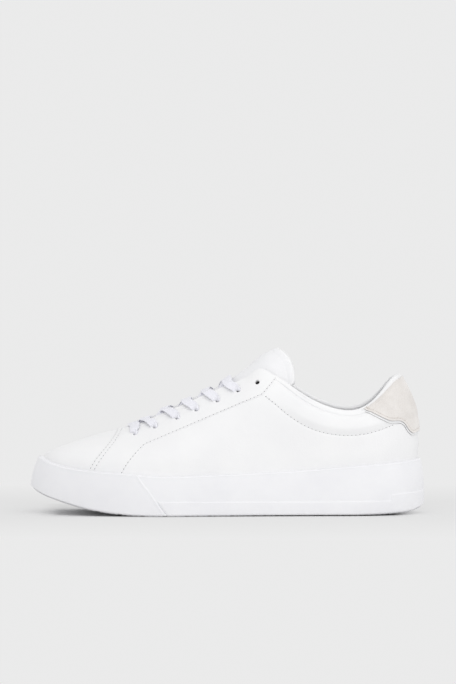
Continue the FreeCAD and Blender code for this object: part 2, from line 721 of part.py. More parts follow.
def rib_at(v, x):
    """The upper's rib count where it passes x, at a height v near the throat."""
    low, high = 0.0, 9.0
    for _ in range(30):
        middle = (low + high) / 2
        if upper_point(middle, v).x < x:
            low = middle
        else:
            high = middle
    return low


def onto_stay(k, side, face):
    """Stations that come over the stay's edge and lie on it, leaning back to a hole's mouth."""
    hole, normal, _ = hole_frame(k, side)
    over = dim("LaceThick") / 2 + dim("Gap")
    lean = dim("LaceLean") if k else BAR_LEAN
    stations = []
    for part in LACE_STOPS if k else BAR_STOPS:
        v = 1 - part * (1 - EYELETS[k][1])
        t = rib_at(v, hole.x - lean * (1 - LEAN_LOSS * part))
        up = upper_normal(-side * t, min(v, 0.97))
        point = upper_point(-side * t, v) + up * (over + STAY_ROOM)
        stations.append((point, up * face, dim("LaceWidth")))
    back = hole - stations[-1][0]
    back = (back - normal * back.dot(normal)).normalize()
    mouth = hole - back * MOUTH_REACH + normal * (over + STAY_ROOM / 2)
    return stations + [(mouth, normal * face, 0.9 * dim("LaceWidth"))]


def bar():
    """Stations of the straight bar across the throat's front end, from hole to hole."""
    up = upper_normal(0, BAR_PLACE)
    crown = upper_point(0, BAR_PLACE) + up * (dim("LaceThick") / 2 + dim("Gap") + STAY_ROOM)
    return onto_stay(0, -1, 1)[::-1] + [(crown, up, dim("LaceWidth"))] + onto_stay(0, 1, 1)


def through_hole(k, side, face):
    """Stations that go down a hole, with the strap's face turned away from the throat."""
    hole, normal, away = hole_frame(k, side)
    thin = dim("LaceGathered")
    return [(hole - normal * 0.2, away * face, thin),
            (hole - normal * (inside_depth() - 0.9), away * face, thin)]


def inside_depth():
    """Depth of the lace's middle where it lies on the lining's inner face."""
    return dim("LiningDepth") + dim("Lining") + dim("LaceThick") / 2 + dim("Gap")


def spanning(x, lift):
    """The middle of a lace, drawn taut between the throat's edges or lying on the tongue."""
    taut = upper_point(rib_at(1.0, x), 1.0).z + dim("LaceArch")
    lying = tongue_point(tongue_place(x), 0.0).z + 3 * dim("Clearance")
    return Vector(x, bend(x), max(taut, lying) + dim("LaceThick") / 2 + lift)


def crossing(k, side, face, lift):
    """Stations from inside hole k, under the stay and over the tongue, to the other side's next hole."""
    wide = dim("LaceWidth")
    over = dim("LaceThick") / 2 + dim("Clearance")
    hole, normal, away = hole_frame(k, side)
    stations = [(hole - normal * inside_depth() - away * 2.2, normal * face, 0.6 * wide)]
    for ahead, w, room, share in TONGUE_STOPS:
        place = tongue_place(hole.x + ahead)
        up = under_tongue(place, side * w, -1) - under_tongue(place, side * w, 0)
        point = under_tongue(place, side * w, -over - room)
        if w < 0.5:
            point.z = (point.z + spanning(point.x, lift).z) / 2
        stations.append((point, up * face, share * wide))
    middle = tongue_place(hole.x + CROSSING_MIDDLE)
    up = under_tongue(middle, 0.0, -1) - under_tongue(middle, 0.0, 0)
    stations.append((spanning(hole.x + CROSSING_MIDDLE, lift), up * face, wide))
    return stations + onto_stay(k + 1, -side, face)


def tail(side, face):
    """Stations of a tucked end, down the lining and back along the footbed's edge."""
    route = [(6.85, 0.80, 0.0), (7.0, 0.68, 0.1), (7.3, 0.54, 0.2), (7.8, 0.42, 0.3), (8.5, 0.34, 0.6),
             (9.3, 0.31, 1.0)]
    widths = [5.0, 7.0, 8.0, 8.0, 6.0, 2.4]
    return [(under(-side * t, v, inside_depth() + extra), upper_normal(-side * t, v) * face, width)
            for (t, v, extra), width in zip(route, widths)]


def lace_end(side):
    """Stations from the first hole on one side to the tucked end."""
    face, lift = 1, LOWER_LIFT if side < 0 else UPPER_LIFT
    stations = through_hole(0, side, face)
    for k in range(LACED - 1):
        face = -face
        stations += crossing(k, side, face, lift)
        side = -side
        stations += through_hole(k + 1, side, face)
    return stations + tail(side, face)


def lace():
    """The lace with its two aglets."""
    frames = strap_frames(lace_end(-1)[::-1] + bar() + lace_end(1))
    feature("shoelace", strap_solid(frames))
    aglets = []
    for word, (end, before) in (("Lateral", frames[:2]), ("Medial", frames[:-3:-1])):
        ahead = (end[0] - before[0]).normalize()
        aglets.append(cylinder(f"Aglet{word}", "Dimensions.AgletRadius", "Dimensions.AgletLength",
                               end[0] + ahead * dim("Gap"), ahead))
    group = doc.addObject("Part::Compound", "aglets")
    group.Label = "aglets"
    group.Links = aglets


# ---------------------------------------------------------------- build and write

NODES = [
    "cupsole", "midsole_insert", "insole_board", "sockliner",
    "vamp", "eyestay", "quarter_lateral", "quarter_medial",
    "eyestay_reinforcement_lateral", "eyestay_reinforcement_medial",
    "blind_eyelets_lateral", "blind_eyelets_medial",
    "toe_puff", "heel_counter", "collar_foam", "vamp_lining",
    "quarter_lining_lateral", "quarter_lining_medial",
    "collar_binding", "heel_tab_underlay", "heel_tab",
    "tongue_outer", "tongue_foam", "tongue_lining", "shoelace", "aglets",
]


def write_parts():
    """Checks every object and writes one STEP per sub-part."""
    failed = [o.Name for o in doc.Objects if {"Invalid", "Error"} & set(o.State)]
    if failed:
        raise RuntimeError(f"objects failed to recompute: {failed}")
    os.makedirs("parts", exist_ok=True)
    for name in NODES:
        shape = doc.getObjectsByLabel(name)[0].Shape
        if shape.isNull() or not shape.isValid():
            raise RuntimeError(f"{name} has no valid shape")
        if not shape.Solids:
            raise RuntimeError(f"{name} has no solid")
        print(f"{name}: {len(shape.Solids)} solids, {shape.Volume / 1000:.2f} cm3")
        shape.exportStep(f"parts/{name}.step")


sole_unit()
lace_holes = lace_punches()
panels(lace_holes)
stiffeners()
linings(lace_holes)
heel_trim()
tongue()
lace()
doc.recompute()
write_parts()
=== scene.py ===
"""Visual model of a left low-top court shoe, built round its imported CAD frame.

Shapes are worked out in millimetres: +Z up, toe towards -X, lateral (outer) side towards -Y.
Meshes are stored in metres, in the CAD frame.
"""

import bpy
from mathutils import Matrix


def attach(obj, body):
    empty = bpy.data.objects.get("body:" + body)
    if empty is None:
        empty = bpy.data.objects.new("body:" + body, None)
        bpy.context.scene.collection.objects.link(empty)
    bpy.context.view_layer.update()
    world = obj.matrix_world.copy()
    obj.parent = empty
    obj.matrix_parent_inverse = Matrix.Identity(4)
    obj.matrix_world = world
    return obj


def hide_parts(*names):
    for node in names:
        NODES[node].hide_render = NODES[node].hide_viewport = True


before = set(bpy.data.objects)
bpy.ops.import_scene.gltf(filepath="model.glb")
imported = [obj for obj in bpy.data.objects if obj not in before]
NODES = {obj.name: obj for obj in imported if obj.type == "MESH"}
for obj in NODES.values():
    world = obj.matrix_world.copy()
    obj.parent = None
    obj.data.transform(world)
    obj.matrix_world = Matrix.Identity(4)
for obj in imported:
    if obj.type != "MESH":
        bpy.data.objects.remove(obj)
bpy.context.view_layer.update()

import math

import bmesh
import bpy
import numpy as np
from mathutils import Vector

MM = 0.001

# ---------------------------------------------------------------- the last
# Fifteen ribs run round one half of the upper, from the toe's centre to the heel's centre.
# A rib has five points (x, half breadth, z): feather edge, rim, wall, shoulder and top edge.

RIBS = np.array([
    ((-136, 0, 26), (-140.5, 0, 42), (-128, 0, 50.4), (-103, 0, 59.2), (-70, 0, 67.6)),
    ((-133, 13, 25.5), (-138, 13, 41.2), (-126.5, 11, 49.8), (-102, 7, 58.7), (-69.5, 4.5, 67.5)),
    ((-123, 25.5, 24), (-128.5, 27, 39.2), (-119.5, 22.5, 49), (-98, 14.5, 57.5), (-67.5, 8, 68.4)),
    ((-103, 35.5, 23), (-107, 38.6, 36.5), (-102.5, 33.8, 47.2), (-89.5, 22, 57.4), (-61.5, 11, 71)),
    ((-78, 41.5, 22), (-80, 45.3, 33), (-79, 41, 46), (-73, 28.5, 59.5), (-48.5, 13.5, 77.2)),
    ((-50, 43, 21.5), (-50, 47.3, 32), (-50, 44.5, 48), (-46, 32, 65), (-27.5, 15, 86.6)),
    ((-20, 40.5, 22), (-20, 45, 33), (-20, 42.5, 52), (-17, 32, 74), (-3, 17, 97.6)),
    ((8, 37.5, 23), (8, 41.5, 34), (8, 39.5, 56), (9, 31.5, 84), (16, 19, 106)),
    ((32, 35.5, 24), (32, 39, 35.5), (32, 38, 58), (31, 33, 88), (28.5, 22.5, 110.8)),
    ((55, 34.8, 25), (55, 38.3, 37), (55, 38, 55), (55, 35.5, 75), (55, 29.5, 93.5)),
    ((78, 34.8, 26), (78, 38.3, 39), (78, 38, 52), (78, 36.3, 68), (78, 31.8, 82)),
    ((100, 34.5, 27), (100, 38, 40.5), (100, 38, 53), (100, 36, 67), (98, 31, 80)),
    ((120, 30, 28), (122, 33, 42), (122, 33, 56), (119, 30.5, 72), (114, 25.5, 89.5)),
    ((135.5, 18, 28.5), (139.2, 18.6, 43), (139.1, 18.6, 58), (135.6, 17.5, 78), (126, 14.5, 102.5)),
    ((141.5, 0, 28.5), (145.4, 0, 43.5), (145.3, 0, 60), (141.9, 0, 81.5), (131.2, 0, 105.3)),
], float)
HEEL_RIB = len(RIBS) - 1
TOP_ROW = RIBS.shape[1] - 1
HALF_LENGTH = 150.0

# The last bends sideways: its centre line is medial at the toe and lateral at the waist.
BEND_STEP = 25.0
BEND = np.array([9.9, 6.5, 3.1, 0.8, -0.2, -0.8, -1.1, -0.6, 0.3, 1.1, 1.7, 1.9, 1.9])

# Seams of the upper in the side view (x, z).
VAMP_SEAM = [(-110.8, 0), (-108.8, 20), (-105.3, 36), (-95.5, 49.5), (-87.8, 58.5), (-84.3, 65), (-82, 80)]
STAY_FRONT = [(-86, 10), (-83.5, 24), (-79, 35.6), (-63.2, 54.7)]
STAY_LOW = [(-63.2, 54.7), (26.8, 92.8)]
STAY_BACK = [(26.8, 92.8), (42.9, 112)]
COLLAR_SEAM = [(26.8, 92.8), (38, 83.6), (54.3, 71.3), (70.7, 64.2), (87, 61.5), (105.4, 62.5),
               (127.9, 69.3), (160, 78)]
TAB_LOW = [(100.5, 80.8), (104.3, 78.9), (111, 75.4), (117.7, 72.1), (124.3, 69.9), (131, 69.9),
           (133.3, 68.9), (136.9, 63.8), (139.1, 61.2), (140.8, 60.3), (143, 60.9), (146, 62.6), (160, 68)]

# Lace holes on one side as (rib count, v).
EYELETS = [(4.0, 0.792), (4.52, 0.826), (5.06, 0.856), (5.55, 0.872), (6.13, 0.881), (6.78, 0.895),
           (7.62, 0.883)]
HOLE_RADIUS = 1.8

# Depths and thicknesses of the upper's layers, under the CAD's outer face.
LEATHER = 1.4
LINING_DEPTH = 2.5
LINING = 1.0
COLLAR_PAD = 4.6
BINDING_START = 0.955
SKIN_DROP = 0.15
STAY_RISE = 0.3
SKIN_TOP = 0.985

# The collar runs round the back between these ribs, and its foam grows in over ribs and heights.
COLLAR_START = 8.3
COLLAR_AROUND = (COLLAR_START, 2 * HEEL_RIB - COLLAR_START)
PAD_RIBS = (8.4, 10.2)
PAD_LOW = (0.56, 0.74)
PAD_HIGH = (0.86, 1.0)

SIDES = [(-1, "lateral"), (1, "medial")]


def bows(values, closed):
    """Second differences of the cubic spline through evenly spaced values, along the first axis."""
    values = np.asarray(values, float)
    count = len(values)
    found = np.zeros_like(values)
    for _ in range(60):
        for i in range(count):
            if closed or 0 < i < count - 1:
                after = (i + 1) % count
                bow = values[i - 1] - 2 * values[i] + values[after]
                found[i] = (6 * bow - found[i - 1] - found[after]) / 4
    return found


def spline_weights(place, count, closed):
    """Indices and weights of the values and bows that make a cubic spline at each place."""
    i = np.floor(place).astype(int)
    if not closed:
        i = np.clip(i, 0, count - 2)
    f = place - i
    g = 1 - f
    return i % count, (i + 1) % count, g, f, (g ** 3 - g) / 6, (f ** 3 - f) / 6


def spline(values, found, place, closed=False):
    """Cubic spline through rows of values, at many places."""
    i, j, g, f, cg, cf = spline_weights(place, len(values), closed)
    if values.ndim > 1:
        g, f, cg, cf = (w[:, None] for w in (g, f, cg, cf))
    return g * values[i] + f * values[j] + cg * found[i] + cf * found[j]


def spline_each(columns, place):
    """Natural cubic spline in which each place has its own column of knots (knot, place, xyz)."""
    found = np.tensordot(bows(np.eye(len(columns)), False), columns, 1)
    i, j, g, f, cg, cf = spline_weights(place, len(columns), False)
    own = np.arange(len(place))
    parts = zip((g, f, cg, cf), (columns[i, own], columns[j, own], found[i, own], found[j, own]))
    return sum(weight[:, None] * part for weight, part in parts)


BEND_BOWS = bows(BEND, False)


def bend(x):
    """Sideways shift of the shoe's centre line at x."""
    place = (np.clip(x, -HALF_LENGTH, HALF_LENGTH) + HALF_LENGTH) / BEND_STEP
    return spline(BEND, BEND_BOWS, place)


def rib_ring():
    """The ribs all round, lateral from toe to heel and medial back, one flat row for each rib."""
    lateral = RIBS * (1, -1, 1)
    medial = RIBS[-2:0:-1]
    return np.concatenate([lateral, medial]).reshape(2 * HEEL_RIB, -1)


RING = rib_ring()
RING_BOWS = bows(RING, True)


def upper_point(t, v):
    """Outer face of the upper: t counts ribs from the toe, v runs from feather to top edge."""
    t, v = np.broadcast_arrays(np.asarray(t, float), np.asarray(v, float))
    shape = t.shape
    t, v = t.ravel(), v.ravel()
    columns = spline(RING, RING_BOWS, t, True).reshape(len(t), TOP_ROW + 1, 3).transpose(1, 0, 2)
    found = spline_each(columns, v * TOP_ROW)
    found[:, 1] += bend(found[:, 0])
    return found.reshape(shape + (3,))


def unit(vectors):
    """Vectors scaled to length one."""
    vectors = np.asarray(vectors, float)
    return vectors / np.maximum(np.linalg.norm(vectors, axis=-1, keepdims=True), 1e-12)


def upper_normal(t, v):
    """Outward unit normal of the upper's outer face."""
    step = 1e-3
    along = upper_point(np.add(t, step), v) - upper_point(np.subtract(t, step), v)
    up = upper_point(t, np.minimum(np.add(v, step), 1)) - upper_point(t, np.maximum(np.subtract(v, step), 0))
    return unit(np.cross(along, up))


def over(t, v, height):
    """Points at a height over the upper's outer face."""
    return upper_point(t, v) + upper_normal(t, v) * np.asarray(height, float)[..., None]


def smooth(low, high, x):
    """0 below low, 1 above high, and a smooth step between them."""
    f = np.clip((x - low) / (high - low), 0, 1)
    return f * f * (3 - 2 * f)


def folded(t):
    """Rib count from the toe on either side, with t in any turn of the ring."""
    return np.abs(np.mod(np.asarray(t, float) + HEEL_RIB, 2 * HEEL_RIB) - HEEL_RIB)


def pad(t, v):
    """Thickness of the collar foam at a place on the upper."""
    return COLLAR_PAD * smooth(*PAD_RIBS, folded(t)) * smooth(*PAD_LOW, v) * (1 - smooth(*PAD_HIGH, v))


def ripple(points, size, seed):
    """Smooth unevenness from -1 to 1 whose bumps are about size millimetres across."""
    rng = np.random.default_rng(seed)
    total = np.zeros(len(points))
    for _ in range(6):
        heading = unit(rng.normal(size=3))
        length = size * rng.uniform(0.8, 1.7)
        total += np.sin(points @ heading * (2 * math.pi / length) + rng.uniform(0, 6.3))
    return total / 4


# ---------------------------------------------------------------- curves


def natural_curve(points, counts, closed=False):
    """Points on the chord-length cubic through points, counts of them between each two knots."""
    points = np.asarray(points, float)
    if closed:
        wrap = 4
        points = np.concatenate([points[-wrap:], points, points[:wrap + 1]])
    knots = np.concatenate([[0], np.cumsum(np.linalg.norm(np.diff(points, axis=0), axis=1))])
    gaps = np.diff(knots)
    size = len(points)
    matrix, right = np.eye(size), np.zeros_like(points)
    for i in range(1, size - 1):
        matrix[i, i - 1:i + 2] = gaps[i - 1], 2 * (gaps[i - 1] + gaps[i]), gaps[i]
        slopes = (points[i + 1] - points[i]) / gaps[i] - (points[i] - points[i - 1]) / gaps[i - 1]
        right[i] = 6 * slopes
    second = np.linalg.solve(matrix, right)
    made = []
    spans = range(wrap, size - wrap - 1) if closed else range(size - 1)
    for i in spans:
        h = gaps[i]
        f = np.arange(counts)[:, None] / counts
        g = 1 - f
        made.append(g * points[i] + f * points[i + 1]
                    + ((g ** 3 - g) * second[i] + (f ** 3 - f) * second[i + 1]) * h * h / 6)
    if not closed:
        made.append(points[-1:])
    return np.concatenate(made)


def line_height(line):
    """A function that gives a side-view line's z at x."""
    dense = natural_curve(line, 12)
    return lambda x: np.interp(x, dense[:, 0], dense[:, 1])


def side_distance(places, outline):
    """Signed distance of (x, z) places to a closed outline, positive inside, and its direction."""
    ends = np.roll(outline, -1, axis=0)
    edges = ends - outline
    distance = np.empty(len(places))
    direction = np.empty((len(places), 2))
    for start in range(0, len(places), 4000):
        part = places[start:start + 4000]
        rel = part[:, None] - outline
        f = np.clip((rel * edges).sum(-1) / np.maximum((edges ** 2).sum(-1), 1e-12), 0, 1)
        off = rel - f[..., None] * edges
        squared = (off ** 2).sum(-1)
        best = squared.argmin(1)
        own = np.arange(len(part))
        reach = np.sqrt(squared[own, best])
        z = part[:, 1:2]
        crosses = (outline[:, 1] > z) != (ends[:, 1] > z)
        slope = edges[:, 0] / np.where(np.abs(edges[:, 1]) < 1e-9, 1e-9, edges[:, 1])
        left = part[:, :1] < outline[:, 0] + (z - outline[:, 1]) * slope
        inside = (crosses & left).sum(1) % 2 == 1
        distance[start:start + 4000] = np.where(inside, reach, -reach)
        direction[start:start + 4000] = off[own, best] / np.maximum(reach, 1e-9)[:, None]
    return distance, direction


def surface_distance(points, normals, outline):
    """Distance along the surface to a side-view outline, positive inside."""
    distance, direction = side_distance(points[:, [0, 2]], outline)
    lean = normals[:, 0] * direction[:, 0] + normals[:, 2] * direction[:, 1]
    return distance / np.sqrt(np.maximum(1 - lean ** 2, 0.08))


def region(*runs):
    """A closed side-view outline from runs of points; runs of three or more are curved."""
    return np.concatenate([natural_curve(run, 10) if len(run) > 2 else np.array(run, float) for run in runs])


VAMP_REGION = region(VAMP_SEAM, [(-77, 160)], [(-220, 160)], [(-220, -40)], [(-106, -40)])
STAY_REGION = region([(-86, -40)], STAY_FRONT, STAY_LOW, STAY_BACK, [(42.9, 200)], [(-220, 200)],
                     [(-220, -40)])
COLLAR_REGION = region(COLLAR_SEAM, [(220, 78)], [(220, 200)], [(26.8, 200)])


def tab_region(lift):
    """The heel tab's side-view outline with its lower edge moved up."""
    low = [(x, z + lift) for x, z in TAB_LOW]
    return region(low, [(220, 72 + lift)], [(220, 200)], [(80, 200)], [(80, 81.5)])


# ---------------------------------------------------------------- patches of polygons


def grid_faces(rows, columns):
    """Quads over a grid of vertices numbered row by row."""
    faces = []
    for i in range(rows - 1):
        a, b = i * columns, (i + 1) * columns
        faces += [[a + j, b + j, b + j + 1, a + j + 1] for j in range(columns - 1)]
    return faces


class Patch:
    """Polygons over a plane of two parameters, whose vertices also carry distances in millimetres.

    A patch can be cut along lines of equal distance, so that edges, bevels and seams get their own
    rows of vertices.
    """

    def __init__(self, values, faces):
        self.values = values
        self.faces = faces

    def cut(self, column, *levels):
        """Adds an edge loop wherever a value crosses a level."""
        for level in levels:
            self.cut_once(column, level)

    def cut_once(self, column, level):
        """Splits each face that a level crosses."""
        side = self.values[:, column] - level
        side[np.abs(side) < 1e-5] = 1e-5
        above = side > 0
        known, fresh, faces = {}, [], []
        for face in self.faces:
            flags = [above[i] for i in face]
            if all(flags) or not any(flags):
                faces.append(face)
                continue
            high, low = [], []
            for i, j in zip(face, face[1:] + face[:1]):
                (high if above[i] else low).append(i)
                if above[i] != above[j]:
                    key = (min(i, j), max(i, j))
                    if key not in known:
                        known[key] = len(self.values) + len(fresh)
                        f = side[key[0]] / (side[key[0]] - side[key[1]])
                        fresh.append(self.values[key[0]] * (1 - f) + self.values[key[1]] * f)
                    high.append(known[key])
                    low.append(known[key])
            faces += [high, low]
        self.faces = faces
        if fresh:
            fresh = np.array(fresh)
            fresh[:, column] = level
            self.values = np.concatenate([self.values, fresh])

    def keep(self, column, level=0.0):
        """Cuts at a level and drops what lies below it, with the vertices that nothing uses."""
        self.cut(column, level)
        self.faces = [face for face in self.faces if self.values[face, column].mean() > level]
        used = np.unique([i for face in self.faces for i in face])
        place = np.full(len(self.values), -1)
        place[used] = np.arange(len(used))
        self.values = self.values[used]
        self.faces = [[int(place[i]) for i in face] for face in self.faces]

    def line(self, column, level):
        """Chains of vertices along a level that was cut."""
        on = np.abs(self.values[:, column] - level) < 1e-6
        joins = {}
        for face in self.faces:
            for i, j in zip(face, face[1:] + face[:1]):
                if on[i] and on[j]:
                    joins.setdefault(i, set()).add(j)
                    joins.setdefault(j, set()).add(i)
        chains, seen = [], set()
        ends = [i for i in joins if len(joins[i]) == 1] + list(joins)
        for start in ends:
            if start in seen:
                continue
            chain = [start]
            seen.add(start)
            while True:
                ahead = [j for j in joins[chain[-1]] if j not in seen]
                if not ahead:
                    break
                chain.append(ahead[0])
                seen.add(ahead[0])
            if len(chain) > 3:
                chains.append(chain)
        return chains

    def rim(self, column, level=0.0):
        """Border edges along a level, each in its face's own direction."""
        count = {}
        for face in self.faces:
            for i, j in zip(face, face[1:] + face[:1]):
                key = (min(i, j), max(i, j))
                count[key] = count.get(key, 0) + 1
        on = np.abs(self.values[:, column] - level) < 1e-4
        found = []
        for face in self.faces:
            for i, j in zip(face, face[1:] + face[:1]):
                if count[(min(i, j), max(i, j))] == 1 and on[i] and on[j]:
                    found.append((i, j))
        return found


# Columns of a patch of the upper. A leather's own seams follow in the columns after its edge.
T, V, EDGE, SEAM, STAY = range(5)
RIB_LENGTH = 24.0
RIB_HEIGHT = 95.0


def sheet_faces(rows, columns):
    """A closed sheet of two grids: its top, its underside, its walls and its top's border."""
    count = rows * columns
    top = grid_faces(rows, columns)
    border = Patch(np.zeros((count, 1)), top).rim(0)
    under = [[i + count for i in face[::-1]] for face in top]
    walls = [[j, i, i + count, j + count] for i, j in border]
    return top, under, walls, sorted({i for pair in border for i in pair})


def upper_grid(t_range, v_range, cell):
    """Rows, columns and every t and v of a grid over the upper with cells of about a size."""
    rows = int((t_range[1] - t_range[0]) * RIB_LENGTH / cell) + 2
    columns = int((v_range[1] - v_range[0]) * RIB_HEIGHT / cell) + 2
    t, v = np.meshgrid(np.linspace(*t_range, rows), np.linspace(*v_range, columns), indexing="ij")
    return rows, columns, t.ravel(), v.ravel()


def upper_uv(t, v):
    """Texture coordinates on the upper, in centimetres."""
    return np.column_stack([t * RIB_LENGTH / 10, v * RIB_HEIGHT / 10])


def upper_patch(t_range, v_range, cell, *fields):
    """A patch of the upper: columns t and v, then one for each field of points, normals and t."""
    rows, columns, t, v = upper_grid(t_range, v_range, cell)
    points, normals = upper_point(t, v), upper_normal(t, v)
    extra = [field(points, normals, t) for field in fields]
    return Patch(np.column_stack([t, v, *extra]), grid_faces(rows, columns))


def rounded(distance, radius):
    """How far a rounded edge has dropped at a distance from the edge."""
    near = np.clip(radius - distance, 0, radius)
    return radius - np.sqrt(np.maximum(radius ** 2 - near ** 2, 0))


def groove(distance, level, depth, width):
    """The size of a soft channel or ridge along a line of equal distance."""
    return depth * np.exp(-((distance - level) / width) ** 2)


# ---------------------------------------------------------------- meshes


def add_mesh(name, points, faces, materials, uv=None, picks=None, sharp=None, outward=False):
    """A smooth-shaded mesh object from points in millimetres."""
    mesh = bpy.data.meshes.new(name)
    mesh.from_pydata((np.asarray(points) * MM).tolist(), [], faces)
    for one in materials:
        mesh.materials.append(one)
    if picks is not None:
        mesh.polygons.foreach_set("material_index", np.asarray(picks, np.int32))
    mesh.polygons.foreach_set("use_smooth", np.ones(len(mesh.polygons), bool))
    if uv is not None:
        corners = np.empty(len(mesh.loops), np.int32)
        mesh.loops.foreach_get("vertex_index", corners)
        layer = mesh.uv_layers.new(name="UVMap")
        layer.data.foreach_set("uv", np.asarray(uv, np.float32)[corners].ravel())
    if outward:
        work = bmesh.new()
        work.from_mesh(mesh)
        bmesh.ops.recalc_face_normals(work, faces=work.faces)
        work.to_mesh(mesh)
        work.free()
    if sharp is not None:
        mesh.set_sharp_from_angle(angle=math.radians(sharp))
    mesh.update()
    piece = bpy.data.objects.new(name, mesh)
    bpy.context.scene.collection.objects.link(piece)
    return piece


def settle(piece, body, slot_name, *nodes):
    """Makes a piece ride on a body and stand for CAD nodes, which it hides; the slot name is not used."""
    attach(piece, body)
    if nodes:
        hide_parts(*nodes)
    return piece


def skin(name, patch, height, foot, material, cut_edge=None, top=None):
    """A layer of the upper from a patch, with walls down its cut border and at the height v = top."""
    values = patch.values
    t, v = values[:, T], values[:, V]
    points = over(t, v, height(values))
    faces = list(patch.faces)
    rim = patch.rim(EDGE)
    cut_count = len(rim)
    if top is not None:
        rim += patch.rim(V, top)
    low = {}
    for i, j in rim:
        for k in (i, j):
            low.setdefault(k, len(points) + len(low))
        faces.append([j, i, low[i], low[j]])
    if low:
        keys = list(low)
        points = np.concatenate([points, over(t[keys], v[keys], np.full(len(keys), foot))])
        values = np.concatenate([values, values[keys]])
    uv = upper_uv(values[:, T], values[:, V])
    picks = [0] * len(patch.faces) + [int(cut_edge is not None)] * cut_count + [0] * (len(rim) - cut_count)
    return add_mesh(name, points, faces, [material, cut_edge or material], uv=uv, picks=picks, sharp=50)


def shell(name, t_range, v_range, cell, outer, inner, material):
    """A closed layer of the upper between two depths that are functions of t and v."""
    rows, columns, t, v = upper_grid(t_range, v_range, cell)
    points = np.concatenate([over(t, v, -outer(t, v)), over(t, v, -inner(t, v))])
    top, under, walls, _ = sheet_faces(rows, columns)
    uv = np.tile(upper_uv(t, v), (2, 1))
    return add_mesh(name, points, top + under + walls, [material], uv=uv, sharp=50, outward=True)


def sweep(centres, across, up, sections):
    """Points and faces of a closed tube: each station has a loop of (across, up) offsets."""
    sections = np.asarray(sections, float)
    points = (centres[:, None] + across[:, None] * sections[..., :1] + up[:, None] * sections[..., 1:])
    rows, columns = sections.shape[:2]
    faces = []
    for i in range(rows - 1):
        for j in range(columns):
            k = (j + 1) % columns
            faces.append([i * columns + j, i * columns + k, (i + 1) * columns + k, (i + 1) * columns + j])
    faces.append(list(range(columns))[::-1])
    faces.append([(rows - 1) * columns + j for j in range(columns)])
    return points.reshape(-1, 3), faces


# ---------------------------------------------------------------- sewing

STITCH_PITCH = 3.0
THREAD_RADIUS = 0.26
NEEDLE_RADIUS = 0.45


def resample(points, pitch, *others):
    """Places along a line at even steps, with other per-point values interpolated."""
    steps = np.linalg.norm(np.diff(points, axis=0), axis=1)
    along = np.concatenate([[0], np.cumsum(steps)])
    count = max(int(along[-1] / pitch), 1)
    wanted = np.linspace(0, along[-1], count + 1)
    made = []
    for values in (points, *others):
        made.append(np.column_stack([np.interp(wanted, along, values[:, c]) for c in range(values.shape[1])]))
    return made


class Sewing:
    """Collects rows of stitches: rounded threads that dip into a needle hole at both ends, each hole marked
    by a dark disc of painted shade.
    """

    def __init__(self):
        self.points, self.faces, self.picks = [], [], []
        self.count = 0

    def add(self, points, faces, pick):
        """Takes in points and faces with one material."""
        self.points.append(points)
        self.faces += [[i + self.count for i in face] for face in faces]
        self.picks += [pick] * len(faces)
        self.count += len(points)

    def row(self, points, normals):
        """One row along a line of points on the leather."""
        places, normals = resample(points, STITCH_PITCH, normals)
        normals = unit(normals)
        for a, b, n0, n1 in zip(places[:-1], places[1:], normals[:-1], normals[1:]):
            self.stitch(a, b, unit(n0 + n1))
        for place, normal in zip(places, normals):
            self.needle_hole_shade(place, normal)

    def stitch(self, a, b, normal):
        """A thread from a to b that lies on the leather and dips in at both ends."""
        ahead = unit(b - a)
        side = np.cross(normal, ahead)
        length = np.linalg.norm(b - a)
        stations = np.array([0.10, 0.17, 0.32, 0.5, 0.68, 0.83, 0.90])
        lift = np.array([-0.16, 0.0, 0.13, 0.18, 0.13, 0.0, -0.16])
        girth = np.array([0.55, 0.9, 1.0, 1.0, 1.0, 0.9, 0.55]) * THREAD_RADIUS
        centres = a + ahead * (stations * length)[:, None] + normal * lift[:, None]
        angles = np.arange(6) * math.pi / 3
        sections = np.stack([np.outer(girth, np.cos(angles)) * 1.25, np.outer(girth, np.sin(angles))], -1)
        rows = len(stations)
        points, faces = sweep(centres, np.tile(side, (rows, 1)), np.tile(normal, (rows, 1)), sections)
        self.add(points, faces, 0)

    def needle_hole_shade(self, place, normal):
        """A small dark disc on the leather: painted shade for the shade inside a needle hole."""
        side = unit(np.cross(normal, (0.31, 0.42, 0.85)))
        other = np.cross(normal, side)
        angles = np.arange(8)[:, None] * math.pi / 4
        ring = place + normal * 0.04 + (np.cos(angles) * side + np.sin(angles) * other) * NEEDLE_RADIUS
        self.add(ring, [list(range(8))], 1)

    def finish(self, name, materials, body):
        """Makes the piece that holds every row."""
        piece = add_mesh(name, np.concatenate(self.points), self.faces, materials, picks=self.picks)
        settle(piece, body, "white_leather")
        return piece


def sew_line(sewing, patch, column, level, height, clear):
    """Stitches along a cut level of a patch where it lies inside the patch's own border."""
    for chain in patch.line(column, level):
        values = patch.values[chain]
        inside = values[:, EDGE] > clear
        start = None
        for k in range(len(chain) + 1):
            if k < len(chain) and inside[k]:
                start = k if start is None else start
                continue
            if start is not None and k - start > 3:
                run = values[start:k]
                t, v = run[:, T], run[:, V]
                sewing.row(over(t, v, height(run)), upper_normal(t, v))
            start = None


# ---------------------------------------------------------------- materials


def finish_of(name, roughness, **sockets):
    """A material with a Principled shader whose uniform values sit on its own sockets."""
    made = bpy.data.materials.new(name)
    made.use_nodes = True
    tree = made.node_tree
    shader = tree.nodes["Principled BSDF"]
    shader.inputs["Roughness"].default_value = roughness
    for socket, value in sockets.items():
        shader.inputs[socket.replace("_", " ")].default_value = value
    return made, tree, shader


